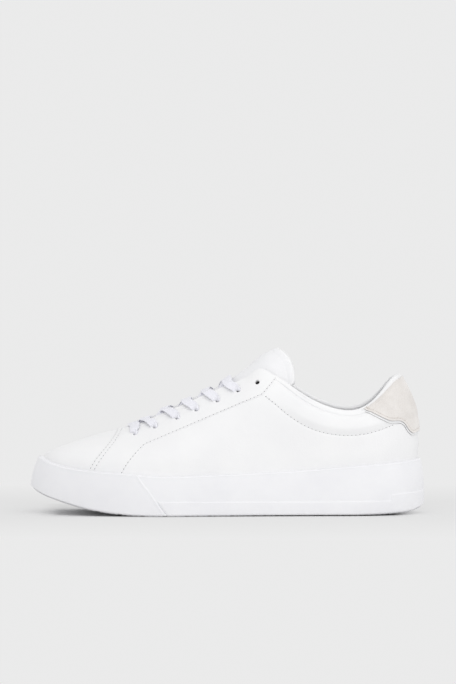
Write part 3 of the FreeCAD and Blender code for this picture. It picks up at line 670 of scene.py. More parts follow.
def noise(tree, coordinates, scale, detail=4.0, rough=0.55, stretch=None):
    """A noise texture's factor output over coordinates."""
    if stretch is not None:
        mapping = tree.nodes.new("ShaderNodeMapping")
        mapping.inputs["Scale"].default_value = stretch
        tree.links.new(coordinates, mapping.inputs["Vector"])
        coordinates = mapping.outputs["Vector"]
    made = tree.nodes.new("ShaderNodeTexNoise")
    made.inputs["Scale"].default_value = scale
    made.inputs["Detail"].default_value = detail
    made.inputs["Roughness"].default_value = rough
    tree.links.new(coordinates, made.inputs["Vector"])
    return made.outputs["Fac"]


def ramp(tree, factor, stops):
    """A colour ramp over a factor from (place, colour) stops."""
    made = tree.nodes.new("ShaderNodeValToRGB")
    elements = made.color_ramp.elements
    while len(elements) < len(stops):
        elements.new(0.5)
    for element, (place, colour) in zip(elements, stops):
        element.position = place
        element.color = (*colour, 1)
    tree.links.new(factor, made.inputs["Fac"])
    return made.outputs["Color"]


def to_range(tree, value, low, high, start=0.0, end=1.0):
    """A value mapped from one range to another."""
    made = tree.nodes.new("ShaderNodeMapRange")
    made.inputs["From Min"].default_value = start
    made.inputs["From Max"].default_value = end
    made.inputs["To Min"].default_value = low
    made.inputs["To Max"].default_value = high
    tree.links.new(value, made.inputs["Value"])
    return made.outputs["Result"]


def maths(tree, operation, a, b):
    """A math node over two sockets or numbers."""
    made = tree.nodes.new("ShaderNodeMath")
    made.operation = operation
    for socket, value in zip(made.inputs, (a, b)):
        if isinstance(value, (int, float)):
            socket.default_value = value
        else:
            tree.links.new(value, socket)
    return made.outputs["Value"]


def bumps(tree, shader, *layers):
    """Chains bump nodes of (height, strength, distance) into the shader's normal."""
    before = None
    for height, strength, distance in layers:
        made = tree.nodes.new("ShaderNodeBump")
        made.inputs["Strength"].default_value = strength
        made.inputs["Distance"].default_value = distance
        tree.links.new(height, made.inputs["Height"])
        if before is not None:
            tree.links.new(before, made.inputs["Normal"])
        before = made.outputs["Normal"]
    tree.links.new(before, shader.inputs["Normal"])


def coat(tree, shader, tone, stops, polish, low, high):
    """Colours a shader by one factor and spreads its roughness from low to high by another."""
    tree.links.new(ramp(tree, tone, stops), shader.inputs["Base Color"])
    tree.links.new(to_range(tree, polish, low, high, 0.3, 0.7), shader.inputs["Roughness"])


def space(tree, kind="Object"):
    """Texture coordinates: Object is metres in the CAD frame, UV is centimetres on the piece."""
    return tree.nodes.new("ShaderNodeTexCoord").outputs[kind]


def leather(name, light, dark, grain=1.0):
    """Smooth coated leather with a fine pebble grain, faint creases and a soft wear tone."""
    made, tree, shader = finish_of(name, 0.46, Specular_IOR_Level=0.42,
                                   Coat_Weight=0.06, Coat_Roughness=0.35)
    where = space(tree)
    stops = [(0.36, dark), (0.62, light)]
    coat(tree, shader, noise(tree, where, 22, 5), stops, noise(tree, where, 160, 3), 0.38, 0.55)
    cells = tree.nodes.new("ShaderNodeTexVoronoi")
    cells.feature = "SMOOTH_F1"
    cells.inputs["Scale"].default_value = 950 / grain
    cells.inputs["Smoothness"].default_value = 0.4
    tree.links.new(where, cells.inputs["Vector"])
    creases = noise(tree, where, 75, 6, 0.6, (1, 1, 0.35))
    bumps(tree, shader, (creases, 0.16, 0.0006), (cells.outputs["Distance"], 0.3, 0.00016),
          (noise(tree, where, 2600, 2), 0.12, 0.00006))
    return made


def suede(name, light, dark):
    """Napped suede: short fibres, soft patches where the nap lies over, and flecks."""
    made, tree, shader = finish_of(name, 0.95, Specular_IOR_Level=0.15,
                                   Sheen_Weight=0.35, Sheen_Roughness=0.45)
    where = space(tree)
    patches = noise(tree, where, 55, 4)
    flecks = noise(tree, where, 1300, 3, 0.7)
    both = maths(tree, "ADD", maths(tree, "MULTIPLY", patches, 0.55), maths(tree, "MULTIPLY", flecks, 0.45))
    coat(tree, shader, both, [(0.38, dark), (0.6, light)], patches, 0.85, 1.0)
    fibres = noise(tree, where, 1500, 4, 0.7, (1, 1, 0.4))
    bumps(tree, shader, (patches, 0.2, 0.0006), (fibres, 0.6, 0.0002))
    return made


def rubber(name, light, dark):
    """Moulded rubber with a matt mould texture and faint handling marks."""
    made, tree, shader = finish_of(name, 0.5, Specular_IOR_Level=0.4)
    where = space(tree)
    tone = noise(tree, where, 30, 6, 0.6)
    coat(tree, shader, tone, [(0.35, dark), (0.6, light)], noise(tree, where, 240, 4), 0.42, 0.62)
    bumps(tree, shader, (noise(tree, where, 1700, 3), 0.22, 0.0001), (tone, 0.06, 0.0006))
    return made


def woven(name, light, dark, pitch, twill=0.0, sheen=0.2):
    """Cloth from two crossed sets of yarns in UV space, pitch in millimetres; twill slants them."""
    made, tree, shader = finish_of(name, 0.85, Specular_IOR_Level=0.2,
                                   Sheen_Weight=sheen, Sheen_Roughness=0.4)
    split = tree.nodes.new("ShaderNodeSeparateXYZ")
    tree.links.new(space(tree, "UV"), split.inputs["Vector"])
    turns = 2 * math.pi * 10 / pitch
    u = maths(tree, "MULTIPLY", split.outputs["X"], turns)
    w = maths(tree, "MULTIPLY", split.outputs["Y"], turns)
    first = maths(tree, "SINE", maths(tree, "ADD", u, maths(tree, "MULTIPLY", w, twill)), 0)
    second = maths(tree, "SINE", maths(tree, "SUBTRACT", w, maths(tree, "MULTIPLY", u, twill)), 0)
    yarns = maths(tree, "MULTIPLY", first, second)
    height = to_range(tree, yarns, 0, 1, -1, 1)
    fuzz = noise(tree, space(tree), 2200, 3, 0.7)
    tone = maths(tree, "ADD", maths(tree, "MULTIPLY", height, 0.6), maths(tree, "MULTIPLY", fuzz, 0.4))
    coat(tree, shader, tone, [(0.25, dark), (0.6, light)], fuzz, 0.75, 0.95)
    bumps(tree, shader, (height, 0.5, 0.00022), (fuzz, 0.2, 0.00008))
    return made


def plain(name, light, dark, roughness, scale, metallic=0.0, bump=0.3):
    """A hidden or small part's material: a mottled tone with its own fine relief."""
    made, tree, shader = finish_of(name, roughness, Metallic=metallic)
    where = space(tree)
    tone = noise(tree, where, scale, 5, 0.6)
    coat(tree, shader, tone, [(0.3, dark), (0.65, light)], tone, roughness - 0.06, roughness + 0.08)
    bumps(tree, shader, (noise(tree, where, scale * 6, 3), bump, 0.00015))
    return made


WHITE_LEATHER = leather("white_leather", (0.925, 0.925, 0.93), (0.895, 0.895, 0.905))
TONGUE_LEATHER = leather("tongue_leather", (0.90, 0.90, 0.915), (0.865, 0.865, 0.885))
# The bindings' leather is the white leather with a finer grain, made a shade lighter: that extra lightness is
# painted light.
LIT_BINDING_LEATHER = leather("binding_leather", (0.93, 0.93, 0.935), (0.90, 0.90, 0.91), 0.7)
SUEDE = suede("beige_suede", (0.865, 0.835, 0.81), (0.755, 0.72, 0.69))
RUBBER = rubber("sole_rubber", (0.92, 0.92, 0.94), (0.89, 0.89, 0.915))
LACE_CLOTH = woven("lace_fabric", (0.94, 0.94, 0.99), (0.82, 0.82, 0.89), 1.15, 1.0, 0.25)
LINING_CLOTH = woven("lining_fabric", (0.92, 0.92, 0.925), (0.76, 0.76, 0.775), 1.5, 0.0, 0.2)
FOOTBED_CLOTH = woven("footbed_fabric", (0.90, 0.90, 0.905), (0.72, 0.72, 0.735), 1.2, 0.5, 0.2)
THREAD = plain("thread", (0.9, 0.9, 0.9), (0.8, 0.8, 0.81), 0.6, 900)
CUT_EDGE = plain("cut_edge", (0.34, 0.33, 0.34), (0.24, 0.24, 0.25), 0.85, 500)
TAB_THREAD = plain("tab_thread", (0.84, 0.8, 0.76), (0.74, 0.7, 0.66), 0.7, 900)
# The needle holes are real, but these two dark colours are painted shade for the shade inside them.
TAB_HOLE_SHADE = plain("tab_needle_hole_shade", (0.6, 0.56, 0.52), (0.5, 0.46, 0.42), 0.9, 900)
NEEDLE_HOLE_SHADE = plain("needle_hole_shade", (0.3, 0.3, 0.31), (0.22, 0.22, 0.23), 0.9, 900)
HOLE_DARK = plain("hole_shadow", (0.012, 0.012, 0.012), (0.004, 0.004, 0.004), 0.8, 500)

HIDDEN = {
    "midsole_insert": plain("eva_foam", (0.78, 0.78, 0.79), (0.66, 0.66, 0.68), 0.85, 400),
    "insole_board": plain("fibreboard", (0.80, 0.78, 0.74), (0.68, 0.66, 0.62), 0.9, 260),
    "toe_puff": plain("stiffener_plastic", (0.7, 0.68, 0.62), (0.58, 0.56, 0.5), 0.6, 180),
    "blind_eyelets_lateral": plain("eyelet_metal", (0.6, 0.6, 0.6), (0.42, 0.42, 0.43), 0.35, 300, 1.0, 0.15),
    "eyestay_reinforcement_lateral": plain("reinforcement_fabric", (0.7, 0.7, 0.69), (0.5, 0.5, 0.5), 0.9,
                                           700),
    "aglets": plain("aglet_plastic", (0.86, 0.86, 0.88), (0.74, 0.74, 0.77), 0.25, 220, 0.0, 0.1),
}
HIDDEN["heel_counter"] = HIDDEN["toe_puff"]
HIDDEN["blind_eyelets_medial"] = HIDDEN["blind_eyelets_lateral"]
HIDDEN["eyestay_reinforcement_medial"] = HIDDEN["eyestay_reinforcement_lateral"]

for node_name, chosen in HIDDEN.items():
    cad_mesh = NODES[node_name].data
    if not cad_mesh.materials:
        cad_mesh.materials.append(chosen)
    for slot_index in range(len(cad_mesh.materials)):
        cad_mesh.materials[slot_index] = chosen

# ---------------------------------------------------------------- upper

FAR = 1e3
HOLE_REACH = 12.0


def lace_holes():
    """The centre and outward axis of each lace hole."""
    for side, _ in SIDES:
        for t, v in EYELETS:
            yield upper_point(-side * t, v), upper_normal(-side * t, v)


def hole_clearance(points, normals, t):
    """Distance to the nearest lace hole's edge."""
    nearest = np.full(len(points), FAR)
    for centre, axis in lace_holes():
        rel = points - centre
        flat = rel - (rel @ axis)[:, None] * axis
        away = np.linalg.norm(flat, axis=1)
        away = np.where(np.abs(rel @ axis) < HOLE_REACH, away, FAR)
        nearest = np.minimum(nearest, away - HOLE_RADIUS)
    return nearest


def top_distance(points, normals, t):
    """Distance to the top edge."""
    return np.linalg.norm(upper_point(t, np.ones_like(t)) - points, axis=1)


def behind_vamp(points, normals, t):
    """Distance behind the vamp's seam."""
    return -surface_distance(points, normals, VAMP_REGION)


def inside_stay(points, normals, t):
    """Distance inside the eyestay's outline."""
    return surface_distance(points, normals, STAY_REGION)


def above_collar_seam(points, normals, t):
    """Distance above the collar's seam."""
    return surface_distance(points, normals, COLLAR_REGION)


VAMP_UNDERLAP = 9.0
QUARTER_UNDERLAP = 8.0
UNDER_STAY_DROP = 0.2
SKIN_FOOT = 0.05

STAY_LAP = 1.1
STAY_RADIUS = 0.75
STAY_FOOT = 0.02 - LINING_DEPTH
STAY_CLEAR = 0.7
SEAM_DEPTH = 0.14
SEAM_WIDTH = 0.5

# Rows of stitches, as distances from the seam that each one follows.
VAMP_ROWS = (1.3, 4.5)
STAY_ROW = 1.1
COLLAR_ROW = 0.0
TAB_ROW = 2.0


def build_vamp():
    """The toe leather, which runs under the eyestay."""
    def edge(*args):
        return VAMP_UNDERLAP - behind_vamp(*args)
    patch = upper_patch((-6.5, 6.5), (SKIN_FOOT, 1.0), 1.7, edge)
    patch.keep(EDGE)

    def height(values):
        points = upper_point(values[:, T], values[:, V])
        under_stay = smooth(VAMP_UNDERLAP + 1.5, VAMP_UNDERLAP - 1.5, values[:, EDGE])
        return -SKIN_DROP - UNDER_STAY_DROP * under_stay + 0.10 * ripple(points, 34, 3)
    piece = skin("vamp_leather", patch, height, -LEATHER, WHITE_LEATHER)
    settle(piece, "shoe", "white_leather", "vamp")


def stay_height(values):
    """Height of the eyestay's face: rounded at its cut edges and drawn in along its stitching."""
    drop = rounded(np.maximum(values[:, EDGE], 0), STAY_RADIUS)
    drawn = [groove(values[:, SEAM], row, SEAM_DEPTH, SEAM_WIDTH) for row in VAMP_ROWS]
    drawn.append(groove(values[:, STAY], STAY_ROW, SEAM_DEPTH, SEAM_WIDTH))
    points = upper_point(values[:, T], values[:, V])
    return STAY_RISE - drop - sum(drawn) + 0.06 * ripple(points, 26, 5)


def build_eyestay(sewing):
    """The U-shaped facing over the vamp and quarters, with its punched holes."""
    def stay(*args):
        return inside_stay(*args) + STAY_LAP

    def edge(*args):
        return np.minimum.reduce([part(*args) for part in (behind_vamp, stay, top_distance, hole_clearance)])
    patch = upper_patch((-9.2, 9.2), (0.2, 1.0), 0.9, edge, behind_vamp, stay)
    patch.keep(EDGE)
    patch.cut(EDGE, 0.12, 0.35, STAY_RADIUS)
    rows = [(SEAM, row) for row in VAMP_ROWS] + [(STAY, STAY_ROW)]
    for column, row in rows:
        patch.cut(column, row - SEAM_WIDTH, row, row + SEAM_WIDTH)
    piece = skin("eyestay_leather", patch, stay_height, STAY_FOOT, WHITE_LEATHER)
    settle(piece, "shoe", "white_leather", "eyestay")
    for column, row in rows:
        sew_line(sewing, patch, column, row, stay_height, STAY_CLEAR)


COLLAR_PUFF = 1.9
COLLAR_DRAW = 0.3
HEEL_FULLNESS = 0.5
BACK_SEAM_GAP = 0.01
OFF_STAY = -20.0


def quarter_height(values):
    """Height of the quarter's face, drawn in at the collar stitching and puffed out above it."""
    t, v, seam, stay = values[:, T], values[:, V], values[:, SEAM], values[:, STAY]
    rib = folded(t)
    points = upper_point(t, v)
    to_top = np.linalg.norm(upper_point(t, np.full(len(t), BINDING_START)) - points, axis=1)
    reach = smooth(8.2, 9.2, rib) * (1 - 0.85 * smooth(11.6, 13.2, rib))
    puff = COLLAR_PUFF * smooth(0, 5.5, seam) * smooth(-0.5, 4.5, to_top) * reach
    drawn = groove(seam, COLLAR_ROW, COLLAR_DRAW, 0.8) * smooth(8.0, COLLAR_START, rib)
    under_stay = smooth(1.0, -1.5, -stay - STAY_LAP)
    heel = HEEL_FULLNESS * smooth(12.6, 13.8, rib) * smooth(0.3, 0.42, v)
    level = -SKIN_DROP - UNDER_STAY_DROP * under_stay
    return level + puff + heel - drawn + 0.10 * ripple(points, 40, 7)


def build_quarter(side, word, sewing):
    """One side's leather, from under the eyestay to the back seam, with the collar's stitching."""
    def edge(*args):
        return QUARTER_UNDERLAP - inside_stay(*args)
    front, back = 3.0, HEEL_RIB - BACK_SEAM_GAP
    t_range = (front, back) if side < 0 else (-back, -front)
    patch = upper_patch(t_range, (SKIN_FOOT, SKIN_TOP), 1.5, edge, above_collar_seam, inside_stay)
    patch.keep(EDGE)
    patch.cut(SEAM, -1.6, -0.8, -0.4, COLLAR_ROW, 0.4, 0.8, 1.6)
    piece = skin(f"quarter_leather_{word}", patch, quarter_height, -LEATHER, WHITE_LEATHER)
    settle(piece, "shoe", "white_leather", f"quarter_{word}")
    for chain in patch.line(SEAM, COLLAR_ROW):
        values = patch.values[chain]
        points = upper_point(values[:, T], values[:, V])
        covered = side_distance(points[:, [0, 2]], tab_region(-1.0))[0] > 0
        shown = (values[:, STAY] < -STAY_LAP - 0.8) & (folded(values[:, T]) < 13.2) & ~covered
        run = values[shown]
        if len(run) > 3:
            run = run[np.argsort(folded(run[:, T]))]
            t, v = run[:, T], run[:, V]
            sewing.row(over(t, v, quarter_height(run)), upper_normal(t, v))


TAB_START = 11.1
TAB_AROUND = (TAB_START, 2 * HEEL_RIB - TAB_START)
TAB_TOP = 0.982
TAB_EDGE_RADIUS = 0.25
TAB_LOWEST, TAB_FOOT, TAB_DRAW = -0.3, -0.4, 0.18
TAB_CELL = 0.9
# Each layer of the tab: piece, lift of its lower edge, rise over the quarter, material, slot, node.
TAB_LAYERS = [
    ("heel_underlay", 0.0, 0.8, WHITE_LEATHER, "white_leather", "heel_tab_underlay"),
    ("heel_tab_suede", 1.5, 1.6, SUEDE, "beige_suede", "heel_tab"),
]


def tab_base(values):
    """Height of the quarter's face under the heel tab."""
    return quarter_height(np.column_stack([values[:, :STAY], np.full(len(values), OFF_STAY)]))


def build_heel_tab(sewing):
    """The suede tab and the white underlay that shows as a rim below it."""
    for name, lift, rise, chosen, slot_name, replaced in TAB_LAYERS:
        border = tab_region(lift)

        def edge(points, normals, t, border=border):
            return surface_distance(points, normals, border)
        patch = upper_patch(TAB_AROUND, (0.44, TAB_TOP), TAB_CELL, edge, above_collar_seam)
        patch.keep(EDGE)
        patch.cut(EDGE, 0.08, TAB_EDGE_RADIUS, TAB_ROW - SEAM_WIDTH, TAB_ROW, TAB_ROW + SEAM_WIDTH)

        def height(values, rise=rise):
            drop = rounded(values[:, EDGE], TAB_EDGE_RADIUS)
            drawn = groove(values[:, EDGE], TAB_ROW, TAB_DRAW, SEAM_WIDTH)
            return np.maximum(tab_base(values), TAB_LOWEST) + rise - drop - drawn
        piece = skin(name, patch, height, TAB_FOOT, chosen, CUT_EDGE, TAB_TOP)
        settle(piece, "shoe", slot_name, replaced)
    sew_line(sewing, patch, EDGE, TAB_ROW, height, 1.0)


def lining_outer(t, v):
    """Depth of the lining's outer face, which the collar's foam pushes in."""
    return LINING_DEPTH + pad(t, v)


def lining_inner(t, v):
    """Depth of the lining's inner face."""
    return lining_outer(t, v) + LINING


def build_lining():
    """Textile lining: the front of the boot and each side below the collar padding."""
    foot, cell = 0.06, 2.6
    front, back_top = 8.4, 0.64
    piece = shell("lining_front", (-front, front), (foot, SKIN_TOP), cell, lining_outer, lining_inner,
                  LINING_CLOTH)
    settle(piece, "shoe", "lining_fabric", "vamp_lining")
    piece = shell("lining_back", COLLAR_AROUND, (foot, back_top), cell, lining_outer, lining_inner,
                  LINING_CLOTH)
    settle(piece, "shoe", "lining_fabric", "quarter_lining_lateral", "quarter_lining_medial")


def tube_uv(along, columns):
    """Texture coordinates of a swept binding, in centimetres, with columns of points round it."""
    return np.column_stack([np.repeat(along, columns), np.tile(np.arange(columns) * 0.06, len(along))])


def binding_section():
    """Cross-section of the collar binding: (outward, up) offsets from the top edge."""
    outer, inner, low, crown, corner = 0.75, -4.2, -4.0, 1.3, 0.45
    middle, half = (outer + inner) / 2, (outer - inner) / 2
    rise = half * 0.7
    # Each arc of the loop: its centre, its two radii, the angles in half turns and the points.
    arcs = [
        ((middle, crown - rise), (half, rise), (0, 1), 13),
        ((inner + corner, low + corner), (corner, corner), (1, 1.5), 4),
        ((outer - corner, low + corner), (corner, corner), (1.5, 2), 4),
    ]
    loop = []
    for centre, radii, (first, last), count in arcs:
        angles = np.linspace(first * math.pi, last * math.pi, count)
        loop.append(np.column_stack([np.cos(angles), np.sin(angles)]) * radii + centre)
    return np.concatenate(loop)


def build_binding():
    """The rolled leather binding round the collar's top edge."""
    t = np.linspace(*COLLAR_AROUND, 320)
    top = upper_point(t, np.ones_like(t))
    normal = upper_normal(t, np.full_like(t, 0.97))
    up = unit(top - upper_point(t, np.full_like(t, BINDING_START)))
    outward = unit(normal - up * (normal * up).sum(1)[:, None])
    section = binding_section()
    ends = smooth(0, 0.35, folded(t) - COLLAR_START)
    sections = np.tile(section, (len(t), 1, 1))
    sections[..., 0] = sections[..., 0] * (0.75 + 0.25 * ends)[:, None] - 0.35 * (1 - ends)[:, None]
    sections[..., 1] = np.where(sections[..., 1] > 0, sections[..., 1] * (0.2 + 0.8 * ends)[:, None],
                                sections[..., 1])
    sections *= (1 + 0.025 * ripple(top, 9, 11))[:, None, None]
    points, faces = sweep(top, outward, up, sections)
    uv = tube_uv(t * RIB_LENGTH / 10, len(section))
    piece = add_mesh("collar_binding_leather", points, faces, [LIT_BINDING_LEATHER], uv=uv, outward=True)
    settle(piece, "shoe", "binding_leather", "collar_binding")


SWELL_FRAMES = 20
SWELL_CAP = 0.0012
CLOTH = {
    "quality": 6, "mass": 0.0006, "air_damping": 6, "tension_stiffness": 3, "compression_stiffness": 3,
    "shear_stiffness": 2, "bending_stiffness": 0.02, "vertex_group_mass": "pinned",
    "use_pressure": True, "uniform_pressure_force": 4.0,
}


def places_of(mesh):
    """The vertices of a mesh as an array, in metres."""
    places = np.empty(len(mesh.vertices) * 3)
    mesh.vertices.foreach_get("co", places)
    return places.reshape(-1, 3)


def swell(piece, pinned):
    """Blender's cloth with inner pressure; pinned vertices stay, and no other moves over the cap."""
    before = places_of(piece.data)
    group = piece.vertex_groups.new(name="pinned")
    group.add([int(i) for i in pinned], 1.0, "REPLACE")
    cloth = piece.modifiers.new("swell", "CLOTH")
    for setting, value in CLOTH.items():
        setattr(cloth.settings, setting, value)
    cloth.settings.effector_weights.gravity = 0
    cloth.collision_settings.use_collision = False
    cloth.collision_settings.use_self_collision = False
    cloth.point_cache.frame_start = 1
    cloth.point_cache.frame_end = SWELL_FRAMES
    scene = bpy.context.scene
    for number in range(1, SWELL_FRAMES + 1):
        scene.frame_set(number)
    view = piece.evaluated_get(bpy.context.evaluated_depsgraph_get())
    move = np.nan_to_num(places_of(view.data) - before)
    reach = np.linalg.norm(move, axis=1, keepdims=True)
    move *= np.minimum(1, SWELL_CAP / np.maximum(reach, 1e-9))
    piece.modifiers.remove(cloth)
    piece.vertex_groups.clear()
    piece.data.vertices.foreach_set("co", (before + move).ravel())
    piece.data.update()
    scene.frame_set(1)
    print(f"swell {piece.name}: largest move {reach.max() * 1000:.2f} mm, kept to {SWELL_CAP * 1000:.1f} mm")


def build_collar_pad():
    """The collar's foam under its textile: a closed pad inside the collar, swollen by cloth."""
    rows, columns = 130, 19
    t, v = np.meshgrid(np.linspace(*COLLAR_AROUND, rows), np.linspace(0.60, 0.962, columns), indexing="ij")
    t, v = t.ravel(), v.ravel()
    count = rows * columns
    back, cover = 1.6, 0.15
    inner = np.maximum(lining_inner(t, v) + cover, 2 * back)
    points = np.concatenate([over(t, v, np.full(count, -back)), over(t, v, -inner)])
    top, under, walls, rim = sheet_faces(rows, columns)
    uv = np.tile(upper_uv(t, v), (2, 1))
    piece = add_mesh("collar_pad", points, top + under + walls, [LINING_CLOTH], uv=uv, outward=True)
    pinned = list(range(count)) + [i + count for i in rim]
    swell(piece, pinned)
    settle(piece, "shoe", "upholstery_foam", "collar_foam")


def build_hole_liners():
    """Dark bores under the punched holes, so that a lace dives into shadow."""
    count, depth = 24, 2.3
    angles = np.linspace(0, 2 * math.pi, count, endpoint=False)[:, None]
    points, faces = [], []
    for centre, axis in lace_holes():
        one = unit(np.cross(axis, (0, 0.3, 1)))
        two = np.cross(axis, one)
        ring = (np.cos(angles) * one + np.sin(angles) * two) * (HOLE_RADIUS + 0.02)
        start = count * len(points)
        points += [centre + ring + axis * (STAY_RISE - STAY_RADIUS), centre + ring - axis * depth]
        for k in range(count):
            n = (k + 1) % count
            faces.append([start + k, start + count + k, start + count + n, start + n])
        faces.append([start + count + k for k in range(count)])
    piece = add_mesh("hole_bores", np.concatenate(points), faces, [HOLE_DARK])
    settle(piece, "shoe", "eyelet_metal")


# ---------------------------------------------------------------- tongue
# Half ribs of the tongue's top face, from its sewn end to its free end: centre, middle and edge.

TONGUE_RIBS = np.array([
    ((-84, 0, 57.6), (-84, 8.5, 56.6), (-84, 17, 53)),
    ((-62, 0, 66.2), (-62.5, 9.5, 65.0), (-63, 18.5, 60)),
    ((-38, 0, 77.8), (-37, 13, 74.8), (-38, 23.5, 65.5)),
    ((-8, 0, 95.0), (-8, 15, 88.4), (-9, 25.5, 74.6)),
    ((12, 0, 109.2), (13, 17, 98.8), (14, 26.8, 80.3)),
    ((28, 0, 121.5), (31, 16.5, 112.2), (36, 23.5, 89.5)),
    ((38.5, 0, 127.2), (47, 13, 120.2), (55, 20, 103.5)),
], float)
TONGUE_TOP = len(TONGUE_RIBS) - 1
TONGUE_THICK = 6.5
TONGUE_RADIUS = 6.0
TONGUE_EDGE_SHARE = 0.28
TONGUE_HIDDEN = 4.0
TONGUE_PLUMP, TONGUE_DRAW, TONGUE_CREASE = 0.5, 0.45, 0.22
TONGUE_COLUMNS = [(2, -1), (1, -1), (0, 1), (1, 1), (2, 1)]
TONGUE_GRID = np.stack([TONGUE_RIBS[:, part] * (1, side, 1) for part, side in TONGUE_COLUMNS])
TONGUE_BOWS = np.stack([bows(column, False) for column in TONGUE_GRID])


def tongue_point(s, w):
    """Top face of the tongue: s counts ribs from the sewn end, w runs from -1 to 1 across it."""
    s, w = np.broadcast_arrays(np.asarray(s, float), np.asarray(w, float))
    shape = s.shape
    s, w = s.ravel(), w.ravel()
    columns = np.stack([spline(c, b, s) for c, b in zip(TONGUE_GRID, TONGUE_BOWS)])
    found = spline_each(columns, (w + 1) * 2)
    found[:, 1] += bend(found[:, 0])
    return found.reshape(shape + (3,))


def tongue_normal(s, w):
    """Upward unit normal of the tongue's top face."""
    step = 1e-3
    along = (tongue_point(np.minimum(np.add(s, step), TONGUE_TOP), w)
             - tongue_point(np.maximum(np.subtract(s, step), 0), w))
    across = (tongue_point(s, np.minimum(np.add(w, step), 1))
              - tongue_point(s, np.maximum(np.subtract(w, step), -1)))
    return unit(np.cross(along, across))


def over_tongue(s, w, height):
    """Points at a height over the tongue's top face."""
    return tongue_point(s, w) + tongue_normal(s, w) * np.asarray(height, float)[..., None]


def tongue_end(w):
    """Where the tongue's free end is, with rounded corners."""
    return TONGUE_TOP - 0.2 * np.abs(w) ** 4


def tongue_grid(rows, columns):
    """Places (s, w) of a grid over the tongue, closer together towards its edges."""
    quarter_turn = math.pi / 2 * 0.985
    w = np.sin(np.linspace(-1, 1, columns) * quarter_turn) / math.sin(quarter_turn)
    f = 1 - (1 - np.linspace(0, 1, rows)) ** 1.25
    grid_f, grid_w = np.meshgrid(f, w, indexing="ij")
    return (grid_f * tongue_end(grid_w)).ravel(), grid_w.ravel()


def tongue_fullness(top, s, edge, side_edge):
    """How far the padding lifts the tongue's face, drawn in along its seam and creased."""
    plump = TONGUE_PLUMP * smooth(TONGUE_RADIUS, 16, edge) * smooth(4.1, 5.0, s)
    drawn = groove(edge, TONGUE_RADIUS, TONGUE_DRAW, 1.3) * smooth(3.6, 4.4, s) * smooth(1, 5, side_edge)
    crease = TONGUE_CREASE * ripple(top, 22, 17) * smooth(3, 9, edge)
    return plump - drawn + crease


def build_tongue(sewing):
    """The padded tongue: leather face, textile underside and a bound edge."""
    rows, columns = 110, 45
    s, w = tongue_grid(rows, columns)
    top = tongue_point(s, w)
    normal = tongue_normal(s, w)
    borders = (tongue_point(s, np.sign(w + 1e-9)), tongue_point(tongue_end(w), w),
               tongue_point(np.zeros_like(s), w))
    edges = [np.linalg.norm(top - border, axis=1) for border in borders]
    edge = np.minimum.reduce(edges)
    near = np.clip(edge / TONGUE_RADIUS, 0, 1)
    full = np.sqrt(np.maximum(1 - (1 - near) ** 2, 0))
    half = TONGUE_THICK / 2 * (TONGUE_EDGE_SHARE + (1 - TONGUE_EDGE_SHARE) * full)
    middle = -TONGUE_THICK / 2
    upper = top + normal * (middle + half + tongue_fullness(top, s, edge, edges[0]))[:, None]
    lower = top + normal * (middle - half)[:, None]
    face, under, walls, _ = sheet_faces(rows, columns)
    uv = np.tile(np.column_stack([s * 2.2, w * 2.4]), (2, 1))
    picks = [0] * len(face) + [1] * len(under) + [0] * len(walls)
    piece = add_mesh("tongue_padded", np.concatenate([upper, lower]), face + under + walls,
                     [TONGUE_LEATHER, LINING_CLOTH], uv=uv, picks=picks, outward=True)
    held = np.nonzero((edge < TONGUE_RADIUS + 0.5) | (s < TONGUE_HIDDEN))[0]
    swell(piece, np.concatenate([held, held + rows * columns]))
    settle(piece, "tongue", "tongue_leather", "tongue_outer", "tongue_foam", "tongue_lining")
    build_tongue_binding(sewing)


def tongue_border():
    """A line round the edge of the tongue's free part, as (s, w) places."""
    side = np.linspace(3.9, TONGUE_TOP - 0.9, 26)
    low = np.full(len(side), -1.0)
    across = np.linspace(-1, 1, 81)
    s = np.concatenate([side, tongue_end(across), side[::-1]])
    w = np.concatenate([low, across, -low])
    return s, w


def binding_fold(angles):
    """Cross-section of the tongue's binding: round outside and drawn out inwards."""
    reach = np.where(np.cos(angles) > 0, 2.9, 1.5)
    return np.column_stack([reach * np.cos(angles) + 1.1, 2.0 * np.sin(angles)])


def build_tongue_binding(sewing):
    """A folded leather strip over the tongue's edge, and its stitching."""
    s, w = tongue_border()
    depth, pitch, columns = 2.45, 1.4, 20
    line, normal = resample(over_tongue(s, w, np.full(len(s), -depth)), pitch, tongue_normal(s, w))
    normal = unit(normal)
    for _ in range(3):
        line[1:-1] = (line[:-2] + 2 * line[1:-1] + line[2:]) / 4
    ahead = unit(np.gradient(line, axis=0))
    normal = unit(normal - ahead * (normal * ahead).sum(1)[:, None])
    inward = unit(np.cross(normal, ahead))
    fold = binding_fold(np.linspace(0, 2 * math.pi, columns, endpoint=False))
    sections = np.tile(fold, (len(line), 1, 1)) * (1 + 0.03 * ripple(line, 7, 19))[:, None, None]
    place = np.arange(len(line), dtype=float)
    fade = smooth(0, 12, np.minimum(place, place[::-1]))
    sections *= (0.5 + 0.5 * fade)[:, None, None]
    points, faces = sweep(line, inward, normal, sections)
    uv = tube_uv(place * pitch / 10, columns)
    piece = add_mesh("tongue_binding", points, faces, [LIT_BINDING_LEATHER], uv=uv, outward=True)
    settle(piece, "tongue", "binding_leather")
    row = line + inward * 3.1 + normal * 1.86
    sewn = slice(14, len(line) - 14)
    sewing.row(row[sewn], normal[sewn])


# ---------------------------------------------------------------- lace
# One flat lace, on the same route as in the CAD: a bar across the first pair of holes, then each end
# passes inside, crosses the tongue and goes down into the next hole of the other side.

LACE_WIDTH = 8.0
LACE_THICK = 1.15
LACE_GATHERED = 3.2
LACE_GAP = 0.1
LACE_CLEAR = 0.35
LACED = 6
LACE_STEPS = 9
LACE_LEAN = 7.0
LEAN_LOSS = 0.98
LACE_RISE = 0.26
LACE_ARCH = 0.5
CROSSING_MIDDLE = 6.3
BAR_LEAN = 0.0
BAR_PLACE = 0.985
CROWN_LIFT = 0.5
HEELWARD = np.array([1.0, 0, 0.4])
